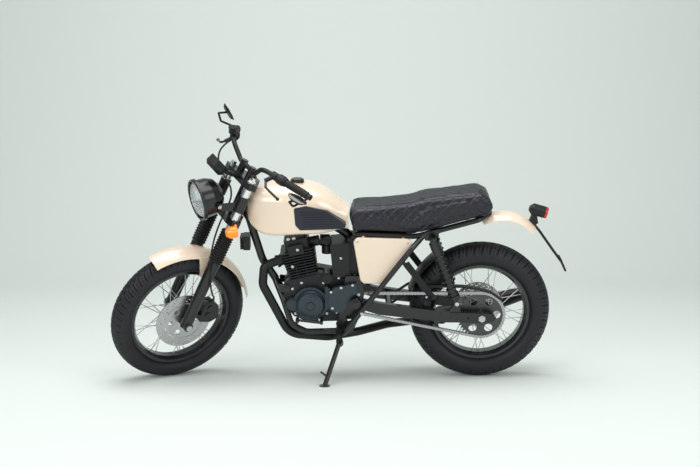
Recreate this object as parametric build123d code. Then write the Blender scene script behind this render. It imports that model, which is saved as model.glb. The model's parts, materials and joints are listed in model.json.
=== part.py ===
from build123d import *
import math
import os

# A scrambler motorcycle parked on its side stand, with the handlebar turned to the left steering stop.
# Every piece is drawn on the upright motorcycle with straight steering: +X forward, +Y to the rider's
# left, +Z up, with the chassis datum on the floor below the tail. The steered pieces are then turned
# about the steering axis, and the whole motorcycle is leaned onto its stand. Lengths are in
# millimetres, angles in degrees, and a pair of numbers is a place (x, z) in the side view.

# Stance
wheelbase = 1400.0
rake = 25.0
fork_offset = 56.0
steer_stop = 31.0
lean = 10.5

# Chassis places: the lower end of the steering head, and the swingarm pivot
head_at = (1116.6, 797.2)
pivot_at = (575.0, 396.0)

# Wheels: tread radius, half width of the tyre, bead radius and half width of the rim
rear_radius = 325.0
rear_crown = 65.0
rear_bead = 219.0
rear_bead_half = 40.0
front_radius = 322.0
front_crown = 54.0
front_bead = 230.0
front_bead_half = 30.0
tyre_wall = 9.0
tread_wall = 16.0
rim_flange = 9.0
rim_depth = 15.0
rim_wall = 4.0
spoke_pairs = 9
spoke_radius = 2.0
hub_radius = 30.0
hub_flange_radius = 54.0
hub_flange_half = 30.0
hub_flange = 5.0
axle_bore = 10.0

# Running fits
axle_fit = 0.3
running_gap = 0.3
nipple_gap = 0.8
head_gap = 0.5

# Front fork, measured up the fork line from the front axle
fork_half = 98.0
stanchion_radius = 20.5
slider_radius = 26.0
slider_foot = 14.0
slider_top = 335.0
gaiter_top = 492.0
gaiter_radius = 34.0
gaiter_folds = 12
lower_clamp = 520.0
upper_clamp = 706.0
clamp_height = 30.0

# Handlebar: the clamp above the upper yoke, and the left end (up the fork, across, ahead of it)
bar_radius = 11.0
bar_rise = 38.0
bar_back = 14.0
bar_end_place = (829.5, 368.0, -113.0)
grip_radius = 16.5
grip_length = 118.0
lever_reach = 96.0
lever_length = 122.0

# Headlight and gauge, up the fork line and ahead of it
lamp_place = (581.4, 125.5)
lamp_radius = 96.0
lamp_droop = 7.0
gauge_place = (743.0, 139.0)
gauge_radius = 50.0
gauge_tilt = 38.0

# Brakes
front_disc_radius = 132.0
front_disc_inner = 92.0
front_disc_thick = 5.0
front_disc_y = 62.0
rear_disc_radius = 110.0
rear_disc_inner = 75.0
rear_disc_thick = 4.5
rear_disc_y = -66.0

# Frame
main_tube = 21.0
down_tube = 18.0
cradle_tube = 14.0
rail_tube = 12.5
frame_half = 85.0
side_plate_thick = 7.0
head_tube_radius = 30.0
head_bore = 22.0

# Swingarm and rear suspension
arm_half = 14.0
arm_gap = 3.0
shock_foot_back = 456.6
shock_foot_rise = 56.4
shock_top_at = (228.0, 699.0)
coil_count = 9
bobbin_ahead = 61.0
bobbin_depth = 14.0
bobbin_radius = 4.0

# Final drive
chain_line = 78.0
chain_pitch = 15.875
rear_teeth = 42
front_teeth = 15
front_sprocket_at = (648.0, 395.0)
sprocket_thick = 6.0
chain_half_height = 7.5
chain_half_width = 7.0
plate_gap = 3.3

# Engine
crank_at = (780.0, 385.0)
case_right = -72.0
case_left = 64.0
cylinder_lean = 12.5
cylinder_at = (809.0, 499.0)
fin_pitch = 13.0
cylinder_fins = 7
head_fins = 4

# Side stand: hinge place, foot place on the floor, and the folded leg's direction
stand_pivot_at = (648.0, 122.0, 214.0)
stand_foot_at = (717.0, 252.0, 0.0)
stand_folded = (-1.0, 0.02, 0.04)
stand_leg_radius = 11.0
stand_half = 12.0

# Number plate screws
plate_hole_radius = 3.2
plate_hole_half = 30.0

os.makedirs("parts", exist_ok=True)
parts = {}

UP_BASE = (Align.CENTER, Align.CENTER, Align.MIN)
DOWN_BASE = (Align.CENTER, Align.CENTER, Align.MAX)

# The fork line runs up and back from the front axle, behind which the steering axis lies
fork_dir = Vector(-math.sin(math.radians(rake)), 0, math.cos(math.radians(rake)))
fork_front = Vector(fork_dir.Z, 0, -fork_dir.X)
head_low = lower_clamp + clamp_height + head_gap
head_high = upper_clamp - head_gap
front_axle = Vector(head_at[0], 0, head_at[1]) + fork_front * fork_offset - fork_dir * head_low
rear_axle = Vector(front_axle.X - wheelbase, 0, front_axle.Z - front_radius + rear_radius)
steer_base = front_axle - fork_front * fork_offset
steer_axis = Axis(steer_base, fork_dir)

# The swingarm line runs from the rear axle to the pivot
arm_line = Vector(pivot_at[0], 0, pivot_at[1]) - rear_axle
arm_length = arm_line.length
arm_dir = arm_line.normalized()
arm_up = Vector(-arm_dir.Z, 0, arm_dir.X)

# Faces across the motorcycle that neighbours share
plate_low = frame_half + 3.0
plate_high = plate_low + side_plate_thick
arm_y = plate_high + arm_gap + arm_half
arm_outer = arm_y + arm_half
arm_inner = arm_y - arm_half


def on_fork(along, across=0.0, ahead=0.0):
    """A point by its distance up the fork line, to the left of it, and in front of it."""
    return front_axle + fork_dir * along + Vector(0, across, 0) + fork_front * ahead


def on_head(share):
    """A point on the steering axis, from the lower end of the steering head to the upper one."""
    return on_fork(head_low + (head_high - head_low) * share, 0, -fork_offset)


def on_arm(along, above=0.0):
    """A side-view place by its distance from the rear axle towards the pivot, and above that line."""
    place = rear_axle + arm_dir * along + arm_up * above
    return (place.X, place.Z)


def at_height(place, y):
    """The 3-D point of a side-view place at this distance across the motorcycle."""
    return Vector(place[0], y, place[1])


def side_plate(points, y_low, y_high, corner=0.0):
    """A plate of this side-view outline, from y_low to y_high."""
    outline = Plane(origin=(0, y_high, 0), x_dir=(1, 0, 0), z_dir=(0, -1, 0)) * make_face(
        Polyline(*points, close=True)
    )
    if corner:
        outline = fillet(outline.vertices(), corner)
    return extrude(outline, amount=y_high - y_low, dir=(0, -1, 0))


def rod(start, end, radius, bore=0.0):
    """A round bar or pipe between two points."""
    start = Vector(*start)
    end = Vector(*end)
    length = (end - start).length
    seat = Plane(origin=start, z_dir=end - start)
    bar = seat * Cylinder(radius, length, align=UP_BASE)
    if bore:
        bar = bar - seat * Cylinder(bore, length, align=UP_BASE)
    return bar


def hex_nut(start, end, radius):
    """A hexagon nut or bolt head between two points."""
    start = Vector(*start)
    end = Vector(*end)
    seat = Plane(origin=start, z_dir=end - start)
    return extrude(seat * RegularPolygon(radius, 6), amount=(end - start).length)


def bent_tube(points, radius, bends):
    """A tube through these corners, each rounded to its bend radius."""
    path = FilletPolyline(*points, radius=bends)
    return sweep(Plane(origin=path @ 0, z_dir=path % 0) * Circle(radius), path=path)


def turned(profile, centre):
    """A solid turned about the wheel axis from a closed (radius, y) profile."""
    points = [centre + Vector(r, y, 0) for r, y in profile]
    return revolve(make_face(Polyline(*points, close=True)), axis=Axis(centre, (0, 1, 0)))


def disc(place, y_low, y_high, radius, bore=0.0):
    """A round plate across the motorcycle, at this side-view place."""
    return rod(at_height(place, y_low), at_height(place, y_high), radius, bore)


def round_places(place, radius, count, first=0.0):
    """Side-view places spaced evenly round a circle."""
    angles = [math.radians(first + 360.0 / count * k) for k in range(count)]
    return [(place[0] + radius * math.cos(a), place[1] + radius * math.sin(a)) for a in angles]


def drilled(place, y_low, y_high, ring, count, hole, first=0.0):
    """Round holes across the motorcycle, spaced evenly on a ring."""
    return [disc(spot, y_low, y_high, hole) for spot in round_places(place, ring, count, first)]


def mirrored(piece):
    """The same piece on the other side of the motorcycle."""
    return piece.mirror(Plane.XZ)


def both_sides(piece):
    """The piece and its mirror image on the other side."""
    return [piece, mirrored(piece)]


def largest(piece):
    """The largest solid that a cut left over."""
    return piece.solids().sort_by(SortBy.VOLUME)[-1]


def keep(name, body, *pieces):
    """Stores a node's solids under its name, with the body that carries it."""
    parts[name] = (body, [solid for piece in pieces for solid in piece.solids()])


# Wheels

def tyre(centre, radius, crown, bead, bead_half):
    """A hollow tyre: two sidewalls and a round crown, open between its beads."""
    shoulder = math.radians(58.0)
    toe = bead_half - tyre_wall - 3
    ring = radius - crown
    lip = bead + rim_flange
    belly = ring - 12

    def at(r, y):
        return centre + Vector(r, y, 0)

    def shoulder_at(wall, side):
        reach = crown - wall
        return at(ring + reach * math.cos(shoulder), side * reach * math.sin(shoulder))

    outline = [
        Line(at(bead, toe), at(bead, bead_half)),
        Line(at(bead, bead_half), at(lip, bead_half)),
        ThreePointArc(at(lip, bead_half), at(belly, crown - 1.5), shoulder_at(0, 1)),
        ThreePointArc(shoulder_at(0, 1), at(radius, 0), shoulder_at(0, -1)),
        ThreePointArc(shoulder_at(0, -1), at(belly, 1.5 - crown), at(lip, -bead_half)),
        Line(at(lip, -bead_half), at(bead, -bead_half)),
        Line(at(bead, -bead_half), at(bead, -toe)),
        ThreePointArc(at(bead, -toe), at(belly, tyre_wall - crown), shoulder_at(tyre_wall + 2, -1)),
        ThreePointArc(shoulder_at(tyre_wall + 2, -1), at(radius - tread_wall, 0),
                      shoulder_at(tyre_wall + 2, 1)),
        ThreePointArc(shoulder_at(tyre_wall + 2, 1), at(belly, crown - tyre_wall), at(bead, toe)),
    ]
    return revolve(make_face(outline), axis=Axis(centre, (0, 1, 0)))


def rim(centre, bead, bead_half):
    """A rim with a flange each side of the bead seat and a drop centre for the spokes."""
    edge = bead_half + rim_wall
    well = bead - rim_depth
    half_profile = [
        (bead + rim_flange, bead_half), (bead + rim_flange, edge), (bead - rim_wall, edge),
        (well, bead_half * 0.55),
    ]
    inside = [(well + rim_wall, bead_half * 0.5), (bead, bead_half * 0.8), (bead, bead_half)]
    right = [(r, -y) for r, y in half_profile[::-1]]
    right_inside = [(r, -y) for r, y in inside]
    profile = half_profile + right + right_inside[::-1] + inside
    return turned(profile, centre)


def hub_with_spokes(centre, bead, barrel_left, barrel_right):
    """The hub, and crossed spokes that reach the well of the rim."""
    inner = hub_flange_half - hub_flange
    profile = [
        (axle_bore, -barrel_right), (hub_radius, -barrel_right), (hub_radius, -hub_flange_half),
        (hub_flange_radius, -hub_flange_half), (hub_flange_radius, -inner), (hub_radius, -inner),
        (hub_radius, inner), (hub_flange_radius, inner), (hub_flange_radius, hub_flange_half),
        (hub_radius, hub_flange_half), (hub_radius, barrel_left), (axle_bore, barrel_left),
    ]
    foot = hub_flange_radius - hub_flange
    tip = bead - rim_depth - nipple_gap
    spokes = []
    for side in (-1, 1):
        for k in range(2 * spoke_pairs):
            lead = 1 if k % 2 else -1
            turn = 360.0 / (2 * spoke_pairs) * (k + 0.25 * side)
            start_angle = math.radians(turn + 62 * lead)
            end_angle = math.radians(turn + 6 * lead)
            start = centre + Vector(foot * math.cos(start_angle), 0, foot * math.sin(start_angle))
            end = centre + Vector(tip * math.cos(end_angle), 0, tip * math.sin(end_angle))
            flange_y = Vector(0, side * (hub_flange_half - hub_flange / 2), 0)
            spokes.append(rod(start + flange_y, end + Vector(0, side * 7, 0), spoke_radius))
    return turned(profile, centre) + spokes


def brake_disc(centre, y, outer, inner, thick):
    """A drilled brake disc, bolted to a six-armed carrier on the hub."""
    place = (centre.X, centre.Z)
    low = y - thick / 2
    high = y + thick / 2
    ring = disc(place, low, high, outer, inner)
    band = outer - inner
    for row, share in enumerate((0.25, 0.5, 0.75)):
        ring = ring - drilled(place, low - 1, high + 1, inner + band * share, 18, band * 0.085, row * 7)
    carrier = disc(place, low, high, inner - 3, hub_radius + running_gap)
    window = (inner - hub_radius) * 0.21
    carrier = carrier - drilled(place, low - 1, high + 1, (inner + hub_radius) / 2, 6, window)
    lugs = drilled(place, low - 1.5, high + 1.5, inner, 6, 9, 30)
    return ring + carrier + lugs


def sprocket(place, teeth, y, bore):
    """A toothed wheel of straight-flanked teeth that sit between the chain's rollers."""
    pitch_radius = chain_pitch / (2 * math.sin(math.pi / teeth))
    step = 2 * math.pi / teeth
    points = []
    for k in range(teeth):
        for turn, rise in ((-0.32, -5.0), (-0.12, 4.0), (0.12, 4.0), (0.32, -5.0)):
            angle = (k + turn) * step
            reach = pitch_radius + rise
            points.append((place[0] + reach * math.cos(angle), place[1] + reach * math.sin(angle)))
    wheel = side_plate(points, y - sprocket_thick / 2, y + sprocket_thick / 2)
    return wheel - disc(place, y - sprocket_thick, y + sprocket_thick, bore)


rear_place = (rear_axle.X, rear_axle.Z)
front_place = (front_axle.X, front_axle.Z)
front_barrel_left = front_disc_y + 3
front_barrel_right = 56.0
rear_barrel_left = chain_line + 3
rear_barrel_right = 4 - rear_disc_y
keep("front_tyre", "front_wheel", tyre(front_axle, front_radius, front_crown, front_bead, front_bead_half))
keep("front_rim", "front_wheel", rim(front_axle, front_bead, front_bead_half))
front_hub = hub_with_spokes(front_axle, front_bead, front_barrel_left, front_barrel_right)
keep("front_hub", "front_wheel", front_hub)
keep("front_brake_disc", "front_wheel",
     brake_disc(front_axle, front_disc_y, front_disc_radius, front_disc_inner, front_disc_thick))
keep("rear_tyre", "rear_wheel", tyre(rear_axle, rear_radius, rear_crown, rear_bead, rear_bead_half))
keep("rear_rim", "rear_wheel", rim(rear_axle, rear_bead, rear_bead_half))
rear_hub = hub_with_spokes(rear_axle, rear_bead, rear_barrel_left, rear_barrel_right)
keep("rear_hub", "rear_wheel", rear_hub)
keep("rear_brake_disc", "rear_wheel",
     brake_disc(rear_axle, rear_disc_y, rear_disc_radius, rear_disc_inner, rear_disc_thick))
rear_sprocket = sprocket(rear_place, rear_teeth, chain_line, hub_radius + running_gap)
windows = drilled(rear_place, chain_line - 10, chain_line + 10, 72, 6, 19)
sprocket_bolts = drilled(rear_place, chain_line - 5, chain_line + 6, 46, 6, 6, 30)
keep("rear_sprocket", "rear_wheel", rear_sprocket - windows + sprocket_bolts)


# Axles
def front_axle_set():
    """The front axle with its head, nut and the spacers each side of the hub."""
    outer = fork_half + slider_radius + 1 + running_gap
    spacer_end = fork_half - slider_radius - 1 - running_gap
    shaft = disc(front_place, -outer - 9, outer + 9, axle_bore - axle_fit)
    shaft = shaft + hex_nut(at_height(front_place, outer), at_height(front_place, outer + 11), 15)
    shaft = shaft + hex_nut(at_height(front_place, -outer), at_height(front_place, -outer - 9), 14)
    shaft = shaft + disc(front_place, front_barrel_left + running_gap, spacer_end, 15)
    return shaft + disc(front_place, -spacer_end, -front_barrel_right - running_gap, 15)


def rear_axle_set():
    """The rear axle with its nuts and the spacers between the hub and the swingarm."""
    outer = arm_outer + running_gap
    spacer_end = arm_inner - running_gap
    shaft = disc(rear_place, -outer - 12, outer + 14, axle_bore - axle_fit)
    shaft = shaft + hex_nut(at_height(rear_place, outer), at_height(rear_place, outer + 10), 17)
    shaft = shaft + hex_nut(at_height(rear_place, -outer), at_height(rear_place, -outer - 10), 17)
    shaft = shaft + disc(rear_place, rear_barrel_left + running_gap, spacer_end, 14)
    return shaft + disc(rear_place, -spacer_end, -rear_barrel_right - running_gap, 14)


keep("front_axle", "steering", front_axle_set())
keep("rear_axle", "frame", rear_axle_set())


# Front fork

def fork_slider():
    """The left fork slider, with its axle lug and the lugs for the fender and the caliper."""
    y = fork_half
    body = rod(on_fork(-slider_foot, y), on_fork(slider_top, y), slider_radius)
    body = body + rod(on_fork(slider_top - 26, y), on_fork(slider_top - 4, y), slider_radius + 3)
    body = body + rod(on_fork(0, y - slider_radius - 1), on_fork(0, y + slider_radius + 1), 22)
    body = body - rod(on_fork(30, y), on_fork(slider_top + 1, y), stanchion_radius + running_gap)
    return body - disc(front_place, y - 40, y + 40, axle_bore)


def fork_stanchion():
    """The left chromed upper tube with its top cap."""
    y = fork_half
    cap_base = upper_clamp + clamp_height
    tube = rod(on_fork(31, y), on_fork(cap_base + 8, y), stanchion_radius)
    return tube + hex_nut(on_fork(cap_base + 8, y), on_fork(cap_base + 20, y), 15)


def gaiter():
    """A bellows that covers the left upper tube between the slider and the lower yoke."""
    pitch = (gaiter_top - slider_top) / gaiter_folds
    seat = Plane(origin=on_fork(slider_top, fork_half), x_dir=(0, 1, 0), z_dir=fork_dir)
    inner = stanchion_radius + running_gap
    root = gaiter_radius - 6
    profile = [(inner, 0)]
    for k in range(gaiter_folds):
        profile += [(root, k * pitch), (gaiter_radius, (k + 0.5) * pitch)]
    profile += [(root, gaiter_folds * pitch), (inner, gaiter_folds * pitch)]
    points = [seat.from_local_coords((r, 0, height)) for r, height in profile]
    return revolve(make_face(Polyline(*points, close=True)), axis=Axis(seat.origin, fork_dir))


def yoke(along, forward_reach):
    """A yoke that grips both fork tubes; its local y points to the front of the fork."""
    seat = Plane(origin=on_fork(along), x_dir=(0, -1, 0), z_dir=fork_dir)
    end = fork_half + 30
    left_half = [
        (end, -24), (end, 18), (fork_half - 20, 26), (40, forward_reach),
    ]
    right_half = [(-x, y) for x, y in left_half[::-1]]
    rear_edge = [(25 - fork_half, -30), (-38, -fork_offset - 26), (38, -fork_offset - 26), (fork_half - 25, -30)]
    ends = [(-end, -24)]
    outline = left_half + right_half[:-1] + ends + rear_edge
    body = extrude(seat * fillet(make_face(Polyline(*outline, close=True)).vertices(), 8), amount=clamp_height)
    for side in (-1, 1):
        low = on_fork(along - 5, side * fork_half)
        high = on_fork(along + clamp_height + 5, side * fork_half)
        body = body - rod(low, high, stanchion_radius)
        slit = on_fork(along + clamp_height / 2, side * (fork_half + 28))
        body = body - Plane(origin=slit, x_dir=(0, 1, 0), z_dir=fork_dir) * Box(28, 3, clamp_height + 4)
    return body


def triple_clamps():
    """Both yokes, the steering stem, its nut and the handlebar risers."""
    top = upper_clamp + clamp_height
    stem = rod(on_fork(lower_clamp, 0, -fork_offset), on_fork(top + 6, 0, -fork_offset), head_bore - 0.5)
    nut = hex_nut(on_fork(top, 0, -fork_offset), on_fork(top + 14, 0, -fork_offset), 18)
    body = yoke(lower_clamp, 20) + yoke(upper_clamp, 24) + stem + nut
    for side in (-1, 1):
        low = on_fork(top, side * 42, -bar_back)
        high = on_fork(top + bar_rise + 16, side * 42, -bar_back)
        body = body + rod(low, high, 17)
    return body


slider = fork_slider()
stanchion = fork_stanchion()
keep("fork_stanchions", "steering", *both_sides(stanchion))
keep("fork_gaiters", "steering", *both_sides(gaiter()))


# Handlebar: a wide bend that rises from the yoke and sweeps back to the grips
bar_clamp = on_fork(upper_clamp + clamp_height + bar_rise, 0, -bar_back)
bar_end = on_fork(*bar_end_place)
bar_elbow = bar_clamp + Vector(2, 155, 62)
bar_dir = (bar_end - bar_elbow).normalized()
grip_start = bar_end - bar_dir * grip_length
perch_at = grip_start - bar_dir * 62
lever_ahead = Vector(0.956, 0, -0.292)


def handlebar_tube():
    """The whole bar, bent on its left half and mirrored."""
    corners = [bar_clamp - Vector(0, 20, 0), bar_clamp + Vector(0, 75, 0), bar_elbow, bar_end]
    half = bent_tube(corners, bar_radius, [40, 60])
    half = half - Pos(bar_clamp.X, -50, bar_clamp.Z) * Box(100, 100, 100)
    return half + mirrored(half)


handlebar = handlebar_tube()
stanchions = both_sides(stanchion)
yokes = triple_clamps() - handlebar - stanchions
keep("handlebar", "steering", handlebar)
keep("triple_clamps", "steering", yokes)


def grip():
    """The left rubber grip with its inner flange and its ribs."""
    body = rod(grip_start, bar_end - bar_dir, grip_radius)
    body = body + rod(grip_start - bar_dir * 4, grip_start, grip_radius + 4)
    for k in range(1, 7):
        ring = grip_start + bar_dir * (15 * k)
        body = body + rod(ring, ring + bar_dir * 8, grip_radius + 1)
    return body - handlebar


def lever():
    """The left lever with its ball end."""
    root = perch_at + lever_ahead * 44
    bend = perch_at + bar_dir * 34 + lever_ahead * (lever_reach - 20)
    tip = perch_at + bar_dir * lever_length + lever_ahead * lever_reach
    return bent_tube([root, bend, tip], 5.5, 18) + Pos(*tip) * Sphere(8)


def left_controls(lever_piece):
    """The left switch housing and the lever's perch."""
    switch = rod(grip_start - bar_dir * 44, grip_start - bar_dir * 5, 20)
    switch = switch + rod(grip_start - bar_dir * 36, grip_start - bar_dir * 12, 23)
    perch = rod(perch_at - bar_dir * 13, perch_at + bar_dir * 13, 18)
    perch = perch + rod(perch_at, perch_at + lever_ahead * 48, 10)
    return (switch - handlebar), (perch - handlebar - lever_piece)


def master_cylinder(perch):
    """The right perch's brake fluid reservoir, on its neck."""
    foot = mirrored_point(perch_at)
    cup = Pos(foot.X + 8, foot.Y, foot.Z + 36) * Cylinder(19, 26)
    lid = Pos(foot.X + 8, foot.Y, foot.Z + 51) * Cylinder(21, 5)
    neck = rod(foot + Vector(4, 0, 14), foot + Vector(8, 0, 26), 9)
    return (cup + lid + neck) - perch - handlebar


def mirrored_point(point):
    """The point on the other side of the motorcycle."""
    return Vector(point.X, -point.Y, point.Z)


lever_piece = lever()
switch, perch = left_controls(lever_piece)
right_perch = mirrored(perch)
keep("handgrips", "steering", *both_sides(grip()))
keep("levers", "steering", *both_sides(lever_piece))
right_controls = mirrored(switch) + right_perch + master_cylinder(right_perch)
keep("bar_controls", "steering", switch + perch, right_controls)

# Bar-end mirrors, from the bar's end: knee of the arm, tip of the arm, middle and facing of the glass
mirror_table = [
    (-1, (80, -12, 45), (92, -12, 88), (44, -8, 86), (-0.91, 0.05, 0.41)),
    (1, (84, 8, -24), (104, 10, 4), (66, 8, 6), (-0.42, 0.10, 0.90)),
]
mirror_radius = 45.0


def bar_end_mirror(side, knee, tip, middle, facing):
    """A round mirror on a cranked arm that is clamped into the bar's end."""
    end = Vector(bar_end.X, side * bar_end.Y, bar_end.Z)
    out = Vector(bar_dir.X, side * bar_dir.Y, bar_dir.Z)
    root = end + out * 13
    arm = bent_tube([root, root + Vector(*knee), root + Vector(*tip)], 5, 12)
    back = rod(root + Vector(*tip), root + Vector(*middle), 5)
    normal = Vector(*facing).normalized()
    seat = Plane(origin=root + Vector(*middle) - normal * 6, z_dir=normal)
    shell = seat * Cone(mirror_radius - 12, mirror_radius, 10, align=UP_BASE)
    return rod(end + out * running_gap, end + out * 19, 13) + arm + back + shell


keep("mirrors", "steering", *[bar_end_mirror(*row) for row in mirror_table])


# Headlight
lamp_at = on_fork(lamp_place[0], 0, lamp_place[1])
lamp_dir = Vector(math.cos(math.radians(lamp_droop)), 0, -math.sin(math.radians(lamp_droop)))
lamp_up = Vector(-lamp_dir.Z, 0, lamp_dir.X)
rim_start = 24.0
rim_end = 42.0


def lamp_turned(profile):
    """A solid turned about the headlight's axis from a (radius, forward) profile."""
    points = [lamp_at + lamp_up * r + lamp_dir * ahead for r, ahead in profile]
    return revolve(make_face(Polyline(*points, close=True)), axis=Axis(lamp_at, lamp_dir))


def headlight_bowl():
    """The bowl, open at the front, with the ring that holds the glass."""
    r = lamp_radius
    outside = [(0, -78), (45, -74), (74, -52), (r - 10, -20), (r - 8, rim_start), (r, rim_start + 2),
               (r, rim_end - 4), (r - 3, rim_end), (r - 10, rim_end), (r - 10, rim_start + 6)]
    inside = [(r - 14, rim_start + 6), (r - 14, -18), (72, -48), (43, -70), (0, -74)]
    return lamp_turned(outside + inside)


def headlight_glass():
    """The domed glass."""
    r = lamp_radius
    return lamp_turned([(0, rim_start + 12), (r - 14, rim_start + 8), (r - 10.3, rim_start + 8),
                        (r - 10.3, rim_end), (60, rim_end + 9), (30, rim_end + 14), (0, rim_end + 15)])


def headlight_bracket(bowl):
    """The left ear, clamped to the fork tube, with the bolt into the bowl."""
    y = fork_half
    low = on_fork(590, y)
    high = on_fork(665, y)
    collar = rod(low, high, 25)
    ear_y = y - 4
    ear = side_plate([(on_fork(612).X + 12, on_fork(612).Z + 26), (on_fork(612).X + 16, on_fork(612).Z - 22),
                      (lamp_at.X - 18, lamp_at.Z - 14), (lamp_at.X - 18, lamp_at.Z + 13)], ear_y, ear_y + 5)
    bolt_place = (lamp_at.X - 29, lamp_at.Z - 1)
    pin = disc(bolt_place, lamp_radius - 20, ear_y + 5, 9)
    head = hex_nut(at_height(bolt_place, ear_y + 5), at_height(bolt_place, ear_y + 11), 10)
    tube = rod(on_fork(580, y), on_fork(680, y), stanchion_radius)
    return (collar + ear + pin + head) - tube - bowl


bowl = headlight_bowl()
keep("headlight_shell", "steering", bowl)
keep("headlight_lens", "steering", headlight_glass())
solid_bowl = bowl + lamp_turned([(0, -78), (lamp_radius - 12, -20), (lamp_radius - 12, rim_start), (0, rim_start)])
keep("headlight_brackets", "steering", *both_sides(headlight_bracket(solid_bowl)))


# Gauge pod, its face turned up to the rider
def gauge_pod():
    """The round pod with its bezel, on an arm from the upper yoke."""
    middle = on_fork(gauge_place[0], 0, gauge_place[1])
    tilt = math.radians(gauge_tilt)
    facing = Vector(-math.cos(tilt), 0, math.sin(tilt))
    seat = Plane(origin=middle - facing * 26, z_dir=facing)
    pod = seat * Cone(gauge_radius - 14, gauge_radius, 14, align=UP_BASE)
    pod = pod + rod(middle - facing * 12, middle + facing * 24, gauge_radius)
    pod = pod - rod(middle + facing * 20, middle + facing * 25, gauge_radius - 5)
    arm_line = [(24, 8), (24, 22), (gauge_place[1] - 30, 32), (gauge_place[1] - 24, 16)]
    base = upper_clamp
    outline = [(on_fork(base + up, 0, ahead).X, on_fork(base + up, 0, ahead).Z) for ahead, up in arm_line]
    return pod + (side_plate(outline, -18, 18) - yokes)


keep("gauge", "steering", gauge_pod())


# Front indicators
def indicator():
    """The left indicator: a stalk on the lower yoke, a round body and a domed lens."""
    root = on_fork(lower_clamp + clamp_height / 2, fork_half + 30)
    middle = root + Vector(30, 26, -16)
    stalk = rod(root, middle, 7) - yokes
    body = rod(middle - Vector(20, 0, 0), middle + Vector(10, 0, 0), 27)
    seat = Plane(origin=middle + Vector(10, 0, 0), z_dir=(1, 0, 0))
    lens = seat * Cone(27, 17, 15, align=UP_BASE)
    return stalk + body + lens


keep("front_indicators", "steering", *both_sides(indicator()))


# Fenders

def fender_band(centre, inner, droop, half, thick, start, arc):
    """A crowned band round a wheel: its skirts hang this much below the crown's inside radius."""
    edge = inner - droop

    def at(r, y):
        return centre + Vector(r, y, 0)

    section = [
        Line(at(edge, -half), at(edge + thick, -half)),
        ThreePointArc(at(edge + thick, -half), at(inner + thick, 0), at(edge + thick, half)),
        Line(at(edge + thick, half), at(edge, half)),
        ThreePointArc(at(edge, half), at(inner, 0), at(edge, -half)),
    ]
    face = make_face(section).rotate(Axis(centre, (0, 1, 0)), -start)
    return revolve(face, axis=Axis(centre, (0, 1, 0)), revolution_arc=-arc)


fender_half = 60.0
front_fender = fender_band(front_axle, front_radius + 23, 27, fender_half, 3, 68, 104)


def fender_stay():
    """The left stay, a cream web from the fender's skirt down to the fork slider."""
    corners = [(325, 62), (330, 10), (238, -14), (228, 14)]
    outline = [(on_fork(up, 0, ahead).X, on_fork(up, 0, ahead).Z) for up, ahead in corners]
    web = side_plate(outline, fender_half - 1, fender_half + 3, 6)
    bolt = rod(on_fork(246, fender_half + 3), on_fork(246, fork_half - 12), 8)
    return (web + bolt) - slider


stay = largest(fender_stay())
keep("front_fender", "steering", front_fender + stay + mirrored(stay))


# Front brake caliper, behind the left fork leg, with the union that takes the hose
banjo_place = (118.0, front_disc_y + 14, -92.0)
banjo_length = 22.0


def front_caliper():
    """Two caliper halves bridged outside the disc, on lugs of the slider."""
    outline = [(20, -58), (30, -118), (62, -150), (118, -128), (136, -86), (112, -58)]
    points = [(on_fork(up, 0, ahead).X, on_fork(up, 0, ahead).Z) for up, ahead in outline]
    body = side_plate(points, front_disc_y - 24, front_disc_y + 26, 10)
    slot = disc(front_place, front_disc_y - 7, front_disc_y + 7, front_disc_radius + 5)
    pistons = [disc((on_fork(up, 0, ahead).X, on_fork(up, 0, ahead).Z), front_disc_y + 26, front_disc_y + 31, 15)
               for up, ahead in ((62, -96), (98, -92))]
    lugs = []
    for up in (44, 118):
        lug = [(on_fork(up - 10, 0, ahead).X, on_fork(up - 10, 0, ahead).Z) for ahead in (-12, -70)]
        far = [(on_fork(up + 10, 0, ahead).X, on_fork(up + 10, 0, ahead).Z) for ahead in (-70, -12)]
        lugs.append(side_plate(lug + far, front_disc_y + 13, front_disc_y + 24))
    along, across, ahead = banjo_place
    banjo = rod(on_fork(along - 14, across, ahead), on_fork(along + banjo_length, across, ahead), 7)
    return (body + lugs) - slot - slider + pistons + (banjo - slot)


caliper = largest(front_caliper())
keep("front_caliper", "steering", caliper)
keep("fork_sliders", "steering", *both_sides(slider))


# Frame
spine_path = [on_head(0.72), Vector(700, 0, 752), Vector(600, 0, 690), Vector(588, 0, 500)]
spine_bends = [120, 60]
down_path = [on_head(0.5), Vector(1000, 0, 575), Vector(940, 0, 480)]
down_bends = [120]
rail_height = 716.0
cradle_floor = 254.0
diagonal_y = arm_outer + rail_tube + 3


def frame_middle():
    """The steering head, the spine, the downtube and the cross tubes."""
    head_tube = rod(on_head(0), on_head(1), head_tube_radius)
    head_tube = head_tube + rod(on_head(0), on_head(0.08), head_tube_radius + 3)
    head_tube = head_tube + rod(on_head(0.92), on_head(1), head_tube_radius + 3)
    gusset = side_plate([(on_head(0.15).X, on_head(0.15).Z), (on_head(0.7).X, on_head(0.7).Z),
                         (on_head(0.7).X - 130, on_head(0.7).Z - 62), (on_head(0.15).X - 42, on_head(0.15).Z - 66)],
                        -3, 3)
    body = head_tube + bent_tube(spine_path, main_tube, spine_bends)
    body = body + bent_tube(down_path, down_tube, down_bends) + gusset
    body = body + rod((560, -frame_half, rail_height), (560, frame_half, rail_height), rail_tube)
    body = body + rod((588, -plate_low, 505), (588, plate_low, 505), cradle_tube)
    body = body + rod((625, -plate_high, 262), (625, plate_high, 262), cradle_tube)
    body = body + rod((20, -78, 778), (20, 78, 778), rail_tube)
    return body - rod(on_head(-0.1), on_head(1.1), head_bore)


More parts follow.
